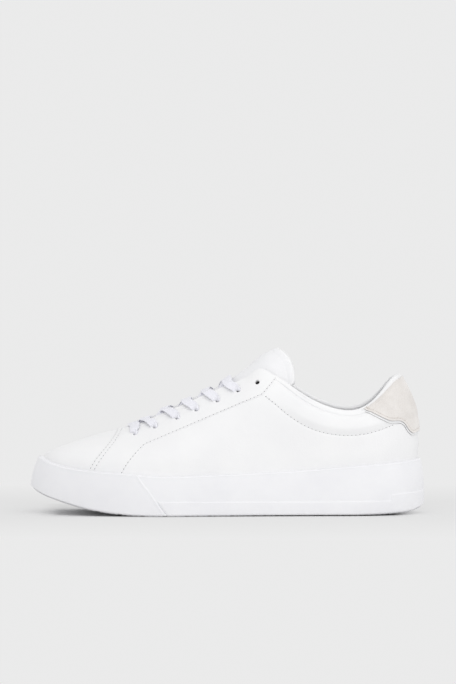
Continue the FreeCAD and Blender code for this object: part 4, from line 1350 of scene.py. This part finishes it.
# Stations on the stay: part of the way from the edge to the hole, and height.
LACE_STOPS = ((0.03, 0.55), (0.5, 0.7))
BAR_STOPS = ((0.3, 0.5), (0.65, 0.5))
# Stations over the tongue: distance heelward of the hole, place across, height, share of the width.
TONGUE_STOPS = ((1.5, 0.8, 1.1, 0.8), (2.2, 0.6, 0.6, 1.0), (4.2, 0.3, 0.3, 1.0))
# The mouth of a hole: distance before it, height and share of the width.
MOUTH_REACH, MOUTH_LIFT, MOUTH_SHARE = 3.2, 0.45, 0.92
# Under the stay, and in the middle of the throat: distance beyond the hole and shares of the width.
UNDER_REACH, UNDER_SHARE, MIDDLE_SHARE = 2.2, 0.6, 1.05
# The end that starts on the lateral side lies on the tongue, and the other end crosses over it.
LOWER_LIFT, UPPER_LIFT = 0.0, 1.35
# The fold along the throat's edge: its reach, the first rib that it is made from, gain and limit.
EDGE_REACH = 7.0
EDGE_START = 3.4
EDGE_GAIN, EDGE_LIMIT = 1.2, 1.3


def tongue_place(x):
    """The tongue's rib count where its centre line passes x."""
    return float(np.interp(x, TONGUE_RIBS[:, 0, 0], np.arange(len(TONGUE_RIBS))))


def hole_frame(k, side):
    """A lace hole's centre, outward normal and the direction away from the throat."""
    t, v = EYELETS[k]
    away = unit(upper_point(-side * t, v - 0.03) - upper_point(-side * t, v + 0.03))
    normal = upper_normal(-side * t, v)
    return upper_point(-side * t, v) + normal * STAY_RISE, normal, away


def rib_at(v, x):
    """The upper's rib count where it passes x, at a height v near the throat."""
    ribs = np.linspace(0, 9, 181)
    return float(np.interp(x, upper_point(ribs, v)[:, 0], ribs))


def onto_stay(k, side, face):
    """Stations that come over the stay's edge and lie on it, leaning back to a hole's mouth."""
    hole, normal, _ = hole_frame(k, side)
    lie = LACE_THICK / 2 + LACE_GAP
    lean, rise = (LACE_LEAN, LACE_RISE) if k else (BAR_LEAN, 0.0)
    stations = []
    for part, height in LACE_STOPS if k else BAR_STOPS:
        v = 1 - part * (1 - EYELETS[k][1])
        t = rib_at(v, hole[0] - lean * (1 - LEAN_LOSS * part))
        up = upper_normal(-side * t, min(v, 0.97))
        point = upper_point(-side * t, v) + up * (STAY_RISE + lie + height)
        stations.append((point, unit(up + HEELWARD * rise) * face, LACE_WIDTH))
    back = unit(hole - stations[-1][0])
    back = unit(back - normal * (back @ normal))
    mouth = hole - back * MOUTH_REACH + normal * (lie + MOUTH_LIFT)
    return stations + [(mouth, unit(normal + HEELWARD * rise) * face, MOUTH_SHARE * LACE_WIDTH)]


def edge_slants(stations):
    """How far each station's cross line turns so that the strap folds along the throat's edge."""
    points = np.array([p for p, _, _ in stations])
    slants = np.zeros(len(points))
    for i in range(1, len(points) - 1):
        point, up, width = stations[i]
        t = rib_at(1.0, point[0])
        for side in (-1, 1):
            edge = upper_point(side * t, 1.0)
            away = np.linalg.norm(edge - point)
            if away > EDGE_REACH or t < EDGE_START or width < LACE_WIDTH * 0.95:
                continue
            along = unit(upper_point(side * (t + 0.2), 1.0) - upper_point(side * (t - 0.2), 1.0))
            ahead = unit(points[i + 1] - points[i - 1])
            across = unit(np.cross(ahead, up))
            slant = np.clip(EDGE_GAIN * (along @ ahead) / (along @ across), -EDGE_LIMIT, EDGE_LIMIT)
            slants[i] = slant * (1 - (away / EDGE_REACH) ** 2)
    return slants


def lace_bar():
    """Stations of the straight bar across the throat's front end, from hole to hole."""
    up = upper_normal(0, BAR_PLACE)
    crown = upper_point(0, BAR_PLACE) + up * (STAY_RISE + LACE_THICK / 2 + LACE_GAP + CROWN_LIFT)
    return onto_stay(0, -1, 1)[::-1] + [(crown, up, LACE_WIDTH)] + onto_stay(0, 1, 1)


def through_hole(k, side, face):
    """Stations that go down a hole, with the lace's face turned away from the throat."""
    hole, normal, away = hole_frame(k, side)
    shy, turn = 0.6, away * face
    top = hole - normal * shy - away * shy
    low = hole - normal * (inside_depth() - shy) - away * shy / 2
    return [(top, turn, LACE_GATHERED), (low, turn, LACE_GATHERED)]


def inside_depth():
    """Depth of the lace's middle where it lies on the lining's inner face."""
    return LINING_DEPTH + LINING + LACE_THICK / 2 + LACE_GAP + STAY_RISE


def spanning(x, lift):
    """The middle of a lace, drawn taut between the throat's edges or lying on the tongue."""
    taut = upper_point(rib_at(1.0, x), 1.0)[2] + LACE_ARCH
    lying = tongue_point(tongue_place(x), 0.0)[2] + 3 * LACE_CLEAR
    return np.array([x, bend(np.array([x]))[0], max(taut, lying) + LACE_THICK / 2 + lift])


def crossing(k, side, face, lift):
    """Stations from inside hole k, under the stay and over the tongue, to the next hole across."""
    lie = LACE_THICK / 2 + LACE_CLEAR
    hole, normal, away = hole_frame(k, side)
    under = hole - normal * inside_depth() - away * UNDER_REACH
    stations = [(under, normal * face, UNDER_SHARE * LACE_WIDTH)]
    for heelward, w, room, width in TONGUE_STOPS:
        place = tongue_place(hole[0] + heelward)
        up = tongue_normal(place, side * w)
        point = over_tongue(place, side * w, lie + room)
        if w < 0.5:
            point[2] = (point[2] + spanning(point[0], lift)[2]) / 2
        stations.append((point, up * face, width * LACE_WIDTH))
    middle = hole[0] + CROSSING_MIDDLE
    up = tongue_normal(tongue_place(middle), 0.0)
    stations.append((spanning(middle, lift), up * face, MIDDLE_SHARE * LACE_WIDTH))
    return stations + onto_stay(k + 1, -side, face)


# A tucked end's route: rib, height, extra depth and width.
TAIL_ROUTE = [(6.85, 0.80, 0.0, 5.0), (7.0, 0.68, 0.1, 7.0), (7.3, 0.54, 0.2, 8.0), (7.8, 0.42, 0.3, 8.0),
              (8.5, 0.34, 0.6, 6.0), (9.3, 0.31, 1.0, 2.4)]


def lace_tail(side, face):
    """Stations of a tucked end, down the lining and back along the footbed's edge."""
    depth = inside_depth() - STAY_RISE
    return [(over(-side * t, v, -(depth + extra)), upper_normal(-side * t, v) * face, width)
            for t, v, extra, width in TAIL_ROUTE]


def lace_end(side):
    """Stations from the first hole on one side to the tucked end."""
    face = 1
    lift = LOWER_LIFT if side < 0 else UPPER_LIFT
    stations = through_hole(0, side, face)
    for k in range(LACED - 1):
        face = -face
        stations += crossing(k, side, face, lift)
        side = -side
        stations += through_hole(k + 1, side, face)
    return stations + lace_tail(side, face)


def lace_frames(stations):
    """Centres, across and up directions and widths along a smooth curve through stations."""
    points = np.array([p for p, _, _ in stations])
    ups = np.array([u for _, u, _ in stations])
    widths = np.array([w for _, _, w in stations], float)
    steps = unit(np.diff(points, axis=0))
    heads = unit(np.concatenate([steps[:1], steps[:-1] + steps[1:], steps[-1:]]))
    slants = edge_slants(stations)
    centres, across, over_dirs, wides = [], [], [], []
    for i in range(len(points) - 1):
        reach = np.linalg.norm(points[i + 1] - points[i])
        last = i == len(points) - 2
        for step in range(LACE_STEPS + last):
            f = step / LACE_STEPS
            g = 1 - f
            ease = smooth(0, 1, f)
            centre = (points[i] * (g * g * (1 + 2 * f)) + points[i + 1] * (f * f * (1 + 2 * g))
                      + heads[i] * (reach * f * g * g) - heads[i + 1] * (reach * f * f * g))
            ahead = ((points[i + 1] - points[i]) * (6 * f * g) + heads[i] * (reach * g * (1 - 3 * f))
                     + heads[i + 1] * (reach * f * (3 * f - 2)))
            side = unit(np.cross(ahead, ups[i] * g + ups[i + 1] * f))
            centres.append(centre)
            slant = slants[i] * (1 - ease) + slants[i + 1] * ease
            across.append(side + unit(ahead) * slant)
            over_dirs.append(unit(np.cross(side, ahead)))
            wides.append(widths[i] * (1 - ease) + widths[i + 1] * ease)
    return (np.array(part) for part in (centres, across, over_dirs, wides))


def signed_power(values, power):
    """Values raised to a power with their signs kept."""
    return np.sign(values) * np.abs(values) ** power


def build_lace():
    """The flat woven lace with rounded edges, gathered where it enters a hole."""
    stations = lace_end(-1)[::-1] + lace_bar() + lace_end(1)
    centres, across, up, widths = lace_frames(stations)
    count = 20
    angles = np.arange(count) * 2 * math.pi / count
    flat, thin = signed_power(np.cos(angles), 0.55), signed_power(np.sin(angles), 0.75)
    gathered = np.clip((LACE_WIDTH - widths) / (LACE_WIDTH - LACE_GATHERED), 0, 1)
    thick = LACE_THICK * (1 + 0.7 * gathered)
    sections = np.stack([np.outer(widths / 2, flat), np.outer(thick / 2, thin)], -1)
    pleat = 0.28 * np.sin(flat * math.pi * 2.5)
    sections[..., 1] += np.outer(gathered * (1 - gathered) * 4, pleat)
    points, faces = sweep(centres, across, up, sections)
    along = np.concatenate([[0], np.cumsum(np.linalg.norm(np.diff(centres, axis=0), axis=1))])
    print(f"lace: {along[-1]:.0f} mm along its middle")
    u = np.outer(np.ones(len(centres)), flat) * LACE_WIDTH / 20
    uv = np.column_stack([u.ravel(), np.repeat(along / 10, count)])
    piece = add_mesh("lace_woven", points, faces, [LACE_CLOTH], uv=uv, outward=True)
    settle(piece, "shoe", "lace_fabric", "shoelace")


# ---------------------------------------------------------------- sole

SOLE_HALF = [(-150, 0), (-148, 12.5), (-141, 25.5), (-127, 37), (-106, 46), (-80, 51.2), (-55, 52.7),
             (-30, 50), (0, 45.6), (30, 43.2), (60, 42.4), (90, 42), (115, 39), (132, 32),
             (144, 18.5), (150, 0)]
CUP_HALF = [(rib[1][0], rib[1][1]) for rib in RIBS]
FEATHER_HALF = [(rib[0][0], rib[0][1]) for rib in RIBS]
TOE_LEAN, HEEL_LEAN, RIM_INSET, TREAD_INSET = 9.9, 4.4, 2.0, 1.5
WIDEST_HEIGHT, BLOCK_HEIGHT = 22.0, 50.0
GROUND_LINE = [(-162, 30), (-148, 18.3), (-140, 14.2), (-130.5, 11), (-111, 5.6), (-88, 1.8), (-68.5, 0.4),
               (-50, 0)]
GROUND_BACK = [(95, 0), (112, 0.3), (128, 1.1), (140, 2.3), (148, 4.8), (155, 10), (162, 18)]
RIM_LINE = [(-162, 51), (-147, 44.2), (-142.9, 42.5), (-138, 40.2), (-131, 38.1), (-122, 36.3),
            (-108.6, 34.7), (-94.8, 33.6), (-81, 32.9), (-66.6, 31.6), (-51, 30.6), (-20.8, 31.2),
            (2, 32), (28.8, 33.2), (55.5, 34.6), (83, 36.8), (108.9, 38.8), (131.7, 40.4),
            (147.3, 41.9), (162, 43.5)]
FEATHER_LINE = [(-155, 28)] + [(rib[0][0], rib[0][2]) for rib in RIBS if rib[0][0] < 142] + [(155, 28.8)]
SAMPLES = 22
UNDERCUT = 0.9
FOOT_RADIUS = 1.3
LIP_RISE, LIP_RADIUS = 0.12, 0.8
BUMPER_RISE, RIDGE_RISE, RIDGE_PLACE, RIDGE_WIDTH = 0.3, 0.3, 0.6, 0.8
SLOT_DEPTH, SLOT_PLACE, SLOT_WIDTH = 0.9, -0.6, 0.26
BLOCK_RISE = 0.4
# Relief of the side wall, in the side view.
BUMPER_EDGE = [(-68.5, 33), (-67, 29.8), (-61, 21.5), (-55, 13), (-51, 7), (-45.5, 0)]
BAND_TOP = [(-52, 11.4), (0, 11.2), (60, 11), (124.2, 11.4)]
BLOCK_TOP = [(124.9, 16.0), (134.5, 17.0), (144, 17.4), (150, 18.1), (170, 20)]
BUMPER_REGION = region(BUMPER_EDGE, [(-40, -10)], [(-40, -40)], [(-220, -40)], [(-220, 80)], [(-70, 80)])
BAND_REGION = np.array([*BAND_TOP, *BLOCK_TOP, (200, 22), (200, -40), (-20, -40), *BUMPER_EDGE[:-4:-1]],
                       float)


def outline(half, x_back=0.0, x_front=0.0, inset=0.0):
    """The closed plan outline of a half-breadth list, moved in by an inset, in many points."""
    half = np.array(half, float)
    low, high = half[0, 0], half[-1, 0]
    f = (half[:, 0] - low) / (high - low)
    x = half[:, 0] + (x_front + inset) * (1 - f) ** 3 - (x_back + inset) * f ** 3
    y = np.maximum(half[:, 1] - inset, 0)
    lateral = np.column_stack([x, -y])
    medial = np.column_stack([x, y])[-2:0:-1]
    loop = np.concatenate([lateral, medial])
    loop[:, 1] += bend(loop[:, 0])
    return natural_curve(loop, SAMPLES, closed=True)


def sole_ring(z, levels):
    """Points of the sole's side at heights z, by a parabola through three outlines."""
    heights = (0.0, WIDEST_HEIGHT, BLOCK_HEIGHT)
    total = np.zeros((len(z), 2))
    for i, level in enumerate(levels):
        weight = np.ones_like(z)
        for j, other in enumerate(heights):
            if j != i:
                weight = weight * (z - other) / (heights[i] - other)
        total += weight[:, None] * level
    return total


rim_height, toe_height, heel_height = (line_height(line) for line in (RIM_LINE, GROUND_LINE, GROUND_BACK))


def ground_height(x):
    """Height of the sole's lower edge at x: flat between the toe's rise and the heel's."""
    toe_end, heel_start = GROUND_LINE[-1][0], GROUND_BACK[0][0]
    return np.where(x < toe_end, toe_height(x), np.where(x > heel_start, heel_height(x), 0.0))


def wall_relief(places):
    """Distances of side-view places inside the toe bumper and inside the low band and heel block."""
    return side_distance(places, BUMPER_REGION)[0], side_distance(places, BAND_REGION)[0]


def bumper_height(front):
    """How far the toe bumper and the ridge along its edge stand out."""
    ridge = groove(front, RIDGE_PLACE, RIDGE_RISE, RIDGE_WIDTH)
    return BUMPER_RISE * smooth(-0.2, RIDGE_PLACE, front) + ridge


def sole_wave(points):
    """The moulding's faint unevenness."""
    return 0.07 * ripple(points, 30, 23)


def two_sides(loop):
    """A closed outline's lateral and medial halves, both from toe to heel."""
    half = len(loop) // 2
    return loop[:half + 1], loop[np.r_[0, np.arange(len(loop) - 1, half - 1, -1)]]


def bridge(lateral, medial, k):
    """Rows of points from one side to the other, at places k from -1 to 1."""
    return (lateral + medial)[:, None] / 2 + (medial - lateral)[:, None] / 2 * k[:, None]


# Columns of the sole's patch: a place and its outward direction come first, then four distances.
BUMPER_COLUMN, BAND_COLUMN = 8, 9


def sole_grid():
    """Rings of the side wall from foot to rim, before its relief, and their outward directions."""
    rim = outline(SOLE_HALF, HEEL_LEAN - RIM_INSET, TOE_LEAN - RIM_INSET, RIM_INSET)
    levels = [outline(SOLE_HALF, inset=TREAD_INSET), outline(SOLE_HALF), rim]
    around = len(rim)
    steps = np.concatenate([np.linspace(0, 0.06, 5)[:-1], np.linspace(0.06, 0.93, 34)[:-1],
                            np.linspace(0.93, 1.0, 7)])
    grid = np.zeros((around + 1, len(steps), 3))
    for j, step in enumerate(steps):
        z = np.full(around, WIDEST_HEIGHT)
        for _ in range(5):
            flat = sole_ring(z, levels)
            low, high = ground_height(flat[:, 0]) + UNDERCUT, rim_height(flat[:, 0])
            z = low + (high - low) * step
        grid[:around, j, :2] = flat
        grid[:around, j, 2] = z
    grid[around] = grid[0]
    tangent = np.gradient(np.concatenate([grid[-4:-1], grid, grid[1:4]]), axis=0)[3:-3]
    outward = unit(np.stack([tangent[..., 1], -tangent[..., 0], np.zeros_like(tangent[..., 0])], -1))
    return grid, outward


def sole_relief(values):
    """How far the side wall stands out: lip, toe bumper, slot, low band, heel block and round foot."""
    places = values[:, :3]
    below_rim, above_ground, front, band = values[:, 6:].T
    relief = LIP_RISE * (1 - smooth(1.0, 1.8, below_rim)) - rounded(np.maximum(below_rim, 0), LIP_RADIUS)
    relief += bumper_height(front) + sole_wave(places)
    relief -= groove(front, SLOT_PLACE, SLOT_DEPTH, SLOT_WIDTH) * (1 - smooth(9.0, 11.5, places[:, 2]))
    relief += BLOCK_RISE * smooth(-0.25, 0.45, band) * (1 - smooth(-1.4, -0.9, front))
    return relief - rounded(np.maximum(above_ground, 0), FOOT_RADIUS)


def build_sole():
    """The rubber cupsole: relief on its side wall, a rolled lip and a grooved tread."""
    grid, outward = sole_grid()
    wall = grid.reshape(-1, 3)
    x, z = wall[:, 0], wall[:, 2]
    low, high = ground_height(x) + UNDERCUT, rim_height(x)
    values = np.column_stack([wall, outward.reshape(-1, 3), high - z, z - low, *wall_relief(wall[:, [0, 2]])])
    patch = Patch(values, grid_faces(*grid.shape[:2]))
    patch.cut(BUMPER_COLUMN, -1.1, -0.8, -0.4, 0.0, 0.35, 0.8, 1.3)
    patch.cut(BAND_COLUMN, -0.25, 0.0, 0.3, 0.7)
    values = patch.values
    points = values[:, :3] + values[:, 3:6] * sole_relief(values)[:, None]
    uv = values[:, [0, 2]] / 10
    faces, points = add_ledge(patch.faces, points, grid, outward)
    faces, points = add_tread(faces, points, grid, outward)
    uv = np.concatenate([uv, points[len(uv):, :2] / 10])
    piece = add_mesh("cupsole_rubber", points, faces, [RUBBER], uv=uv, sharp=60)
    settle(piece, "shoe", "sole_rubber", "cupsole")


# Rings of the ledge: part of the way from the lip to the upper, and drop below the rim line.
LEDGE_RINGS = ((0.0, 0.0), (0.2, -0.1), (0.5, -0.1), (0.85, 0.05), (1.0, 0.3), (1.0, 5.0))
LEDGE_TUCK = 0.9


def add_ledge(faces, points, grid, outward):
    """The rim's top face, from the lip in to the upper and down beside it."""
    cup = outline(CUP_HALF, inset=LEDGE_TUCK)
    around = len(grid) - 1
    top = grid[:-1, -1]
    stand = bumper_height(wall_relief(top[:, [0, 2]])[0]) + sole_wave(top) + LIP_RISE - LIP_RADIUS
    lip = top + outward[:-1, -1] * stand[:, None]
    nearest = ((lip[:, None, :2] - cup[None]) ** 2).sum(-1).argmin(1)
    inner = cup[nearest]
    for _ in range(6):
        inner = (np.roll(inner, 1, axis=0) + 2 * inner + np.roll(inner, -1, axis=0)) / 4
    rings = []
    for f, drop in LEDGE_RINGS:
        flat = lip[:, :2] * (1 - f) + inner * f
        rings.append(np.column_stack([flat, rim_height(lip[:, 0]) - drop]))
    start = len(points)
    points = np.concatenate([points, np.concatenate(rings)])
    for r in range(len(rings) - 1):
        a, b = start + r * around, start + (r + 1) * around
        for i in range(around):
            k = (i + 1) % around
            faces.append([a + i, a + k, b + k, b + i])
    return faces, points


GROOVE_PITCH = 17.0
FIRST_GROOVE = -98.5
GROOVE_COUNT = 13
GROOVE_DEPTH, RIB_DEPTH = 1.9, 0.7
RIB_PITCH = 4.25


def tread_depth(x, across):
    """Depth of the tread's grooves: transverse bars joined by a fine herringbone between them."""
    place = (x - FIRST_GROOVE) / GROOVE_PITCH
    off = (place - np.round(place)) * GROOVE_PITCH
    bars = smooth(1.7, 1.2, np.abs(off)) * ((place > -0.4) & (place < GROOVE_COUNT - 0.6))
    zigzag = np.abs(np.mod(across * 3, 2) - 1) * 4
    fine = (x + zigzag) / RIB_PITCH
    ribs = smooth(0.16, 0.10, np.abs(fine - np.round(fine)))
    inside = smooth(0.97, 0.90, np.abs(across))
    return (GROOVE_DEPTH * bars + RIB_DEPTH * ribs * (1 - bars)) * inside


def add_tread(faces, points, grid, outward):
    """The sole's underside, joined to the foot of its side wall."""
    lateral, medial = two_sides(grid[:-1, 0] - outward[:-1, 0] * FOOT_RADIUS)
    columns = 61
    k = np.linspace(-1, 1, columns)
    coarse = bridge(lateral, medial, k)
    rows = np.empty((2 * len(coarse) - 1, columns, 3))
    rows[::2] = coarse
    rows[1::2] = (coarse[:-1] + coarse[1:]) / 2
    across = np.tile(k, (len(rows), 1))
    reach = np.linalg.norm(rows[:, -1] - rows[:, 0], axis=1)[:, None] / 2
    x = rows[..., 0]
    edge = np.minimum((1 - np.abs(across)) * reach, HALF_LENGTH - np.abs(x))
    rows[..., 2] = ground_height(x) + tread_depth(x, across) + UNDERCUT * smooth(4.5, 0.3, edge)
    start = len(points)
    points = np.concatenate([points, rows.reshape(-1, 3)])
    for face in grid_faces(len(rows), columns):
        faces.append([start + i for i in face[::-1]])
    return faces, points


FOOTBED_INSET, FOOTBED_BASE, FOOTBED_TOP, FOOTBED_RADIUS = 4.9, 0.3, 4.1, 1.6
HEEL_CUP, RAISED_EDGE, ARCH_RISE = 1.6, 0.5, 2.4


def build_sockliner():
    """The loose footbed: a fabric-covered foam sheet with raised edges and a heel cup."""
    rim = outline(FEATHER_HALF, inset=FOOTBED_INSET)
    lateral, medial = (side[1:-1] for side in two_sides(rim))
    columns = 41
    k = np.sin(np.linspace(-1, 1, columns) * math.pi / 2)
    rows = bridge(lateral, medial, k)
    x, y = rows[..., 0], rows[..., 1]
    feather = line_height(FEATHER_LINE)(x)
    reach = np.linalg.norm(medial - lateral, axis=1)[:, None] / 2
    side_edge = (1 - np.abs(k)) * reach
    end_edge = np.minimum(x - rim[:, 0].min(), rim[:, 0].max() - x)
    edge = np.minimum(side_edge, end_edge)
    cup = HEEL_CUP * smooth(16, 2, edge) * smooth(-60, 60, x) + RAISED_EDGE * smooth(14, 2, edge)
    arch = groove(x, 15, ARCH_RISE, 38) * smooth(-4, 24, y)
    top = feather + FOOTBED_TOP + cup + arch - rounded(edge, FOOTBED_RADIUS)
    low = feather + FOOTBED_BASE
    points = np.concatenate([np.dstack([x, y, z]).reshape(-1, 3) for z in (top, low)])
    face, under, walls, _ = sheet_faces(len(rows), columns)
    piece = add_mesh("footbed_padded", points, face + under + walls, [FOOTBED_CLOTH], uv=points[:, :2] / 10,
                     outward=True, sharp=60)
    settle(piece, "footbed", "footbed_fabric", "sockliner")


# ---------------------------------------------------------------- the build

upper_sewing = Sewing()
tab_sewing = Sewing()
tongue_sewing = Sewing()
build_vamp()
build_eyestay(upper_sewing)
for which, word in SIDES:
    build_quarter(which, word, upper_sewing)
build_heel_tab(tab_sewing)
build_lining()
build_binding()
build_collar_pad()
build_hole_liners()
build_tongue(tongue_sewing)
build_lace()
build_sole()
build_sockliner()
upper_sewing.finish("upper_stitching", [THREAD, NEEDLE_HOLE_SHADE], "shoe")
tab_sewing.finish("tab_stitching", [TAB_THREAD, TAB_HOLE_SHADE], "shoe")
tongue_sewing.finish("tongue_stitching", [THREAD, NEEDLE_HOLE_SHADE], "tongue")

# ---------------------------------------------------------------- stage, light and camera

BACKDROP = 0.828
PAPER = 0.76
# Metres: the plain paper's half size and its middle, and the width over which it turns to glow.
PAPER_END, PAPER_SIDE, PAPER_MIDDLE = 0.128, 0.068, 0.03
PAPER_FADE = 0.25
AIM_LIGHTS = (0, 0, 0.05)


def floor_material():
    """A pale studio floor that turns into an even, glowing backdrop away from the shoe."""
    made = bpy.data.materials.new("studio_floor")
    made.use_nodes = True
    tree = made.node_tree
    tree.nodes.clear()
    out = tree.nodes.new("ShaderNodeOutputMaterial")
    mix = tree.nodes.new("ShaderNodeMixShader")
    glow = tree.nodes.new("ShaderNodeEmission")
    glow.inputs["Color"].default_value = (BACKDROP, BACKDROP, BACKDROP, 1)
    paper = tree.nodes.new("ShaderNodeBsdfDiffuse")
    paper.inputs["Color"].default_value = (PAPER, PAPER, PAPER, 1)
    split = tree.nodes.new("ShaderNodeSeparateXYZ")
    tree.links.new(space(tree), split.inputs["Vector"])
    sideways = maths(tree, "SUBTRACT", split.outputs["Y"], PAPER_MIDDLE)
    past_end = maths(tree, "SUBTRACT", maths(tree, "ABSOLUTE", split.outputs["X"], 0), PAPER_END)
    past_side = maths(tree, "SUBTRACT", maths(tree, "ABSOLUTE", sideways, 0), PAPER_SIDE)
    away = to_range(tree, maths(tree, "MAXIMUM", past_end, past_side), 0, 1, 0, PAPER_FADE)
    glowing = ramp(tree, away, [(0.0, (0.0,) * 3), (0.06, (0.45,) * 3), (1.0, (1.0,) * 3)])
    tree.links.new(glowing, mix.inputs["Fac"])
    tree.links.new(paper.outputs["BSDF"], mix.inputs[1])
    tree.links.new(glow.outputs["Emission"], mix.inputs[2])
    tree.links.new(mix.outputs["Shader"], out.inputs["Surface"])
    return made


def add_floor():
    """A wide flat floor."""
    reach = 6000.0
    corners = [(-reach, -reach, 0), (reach, -reach, 0), (reach, reach, 0), (-reach, reach, 0)]
    floor = add_mesh("studio_floor", corners, [[0, 1, 2, 3]], [floor_material()])


def add_light(name, place, size, energy):
    """A soft square light that faces the shoe, in metres."""
    data = bpy.data.lights.new(name, "AREA")
    data.size = size
    data.energy = energy
    lamp = bpy.data.objects.new(name, data)
    bpy.context.scene.collection.objects.link(lamp)
    aim_from(lamp, place, AIM_LIGHTS)


def aim_from(thing, place, aim):
    """Places a camera or light and turns it to a point."""
    thing.location = place
    ahead = Vector(aim) - Vector(place)
    thing.rotation_euler = ahead.to_track_quat("-Z", "Y").to_euler()


def add_world():
    """An even surrounding light."""
    world = bpy.data.worlds.new("studio")
    world.use_nodes = True
    world.node_tree.nodes["Background"].inputs["Color"].default_value = (BACKDROP, BACKDROP, BACKDROP, 1)
    bpy.context.scene.world = world


def add_camera():
    """A long lens, almost level, from the outer side."""
    elevation, distance = math.radians(2.8), 8.0
    aim = (0.0005, 0.0, 0.1306)
    data = bpy.data.cameras.new("camera")
    data.sensor_fit = "AUTO"
    data.sensor_width = 36
    data.lens = 552
    camera = bpy.data.objects.new("camera", data)
    bpy.context.scene.collection.objects.link(camera)
    place = (aim[0], aim[1] - distance * math.cos(elevation), aim[2] + distance * math.sin(elevation))
    aim_from(camera, place, aim)
    bpy.context.scene.camera = camera


add_floor()
add_world()
add_light("key", (0.2, -1.1, 1.25), 1.15, 4.25)
add_light("fill", (0.9, -1.2, 0.45), 1.0, 2.1)
add_camera()
bpy.context.scene.view_settings.view_transform = "Standard"
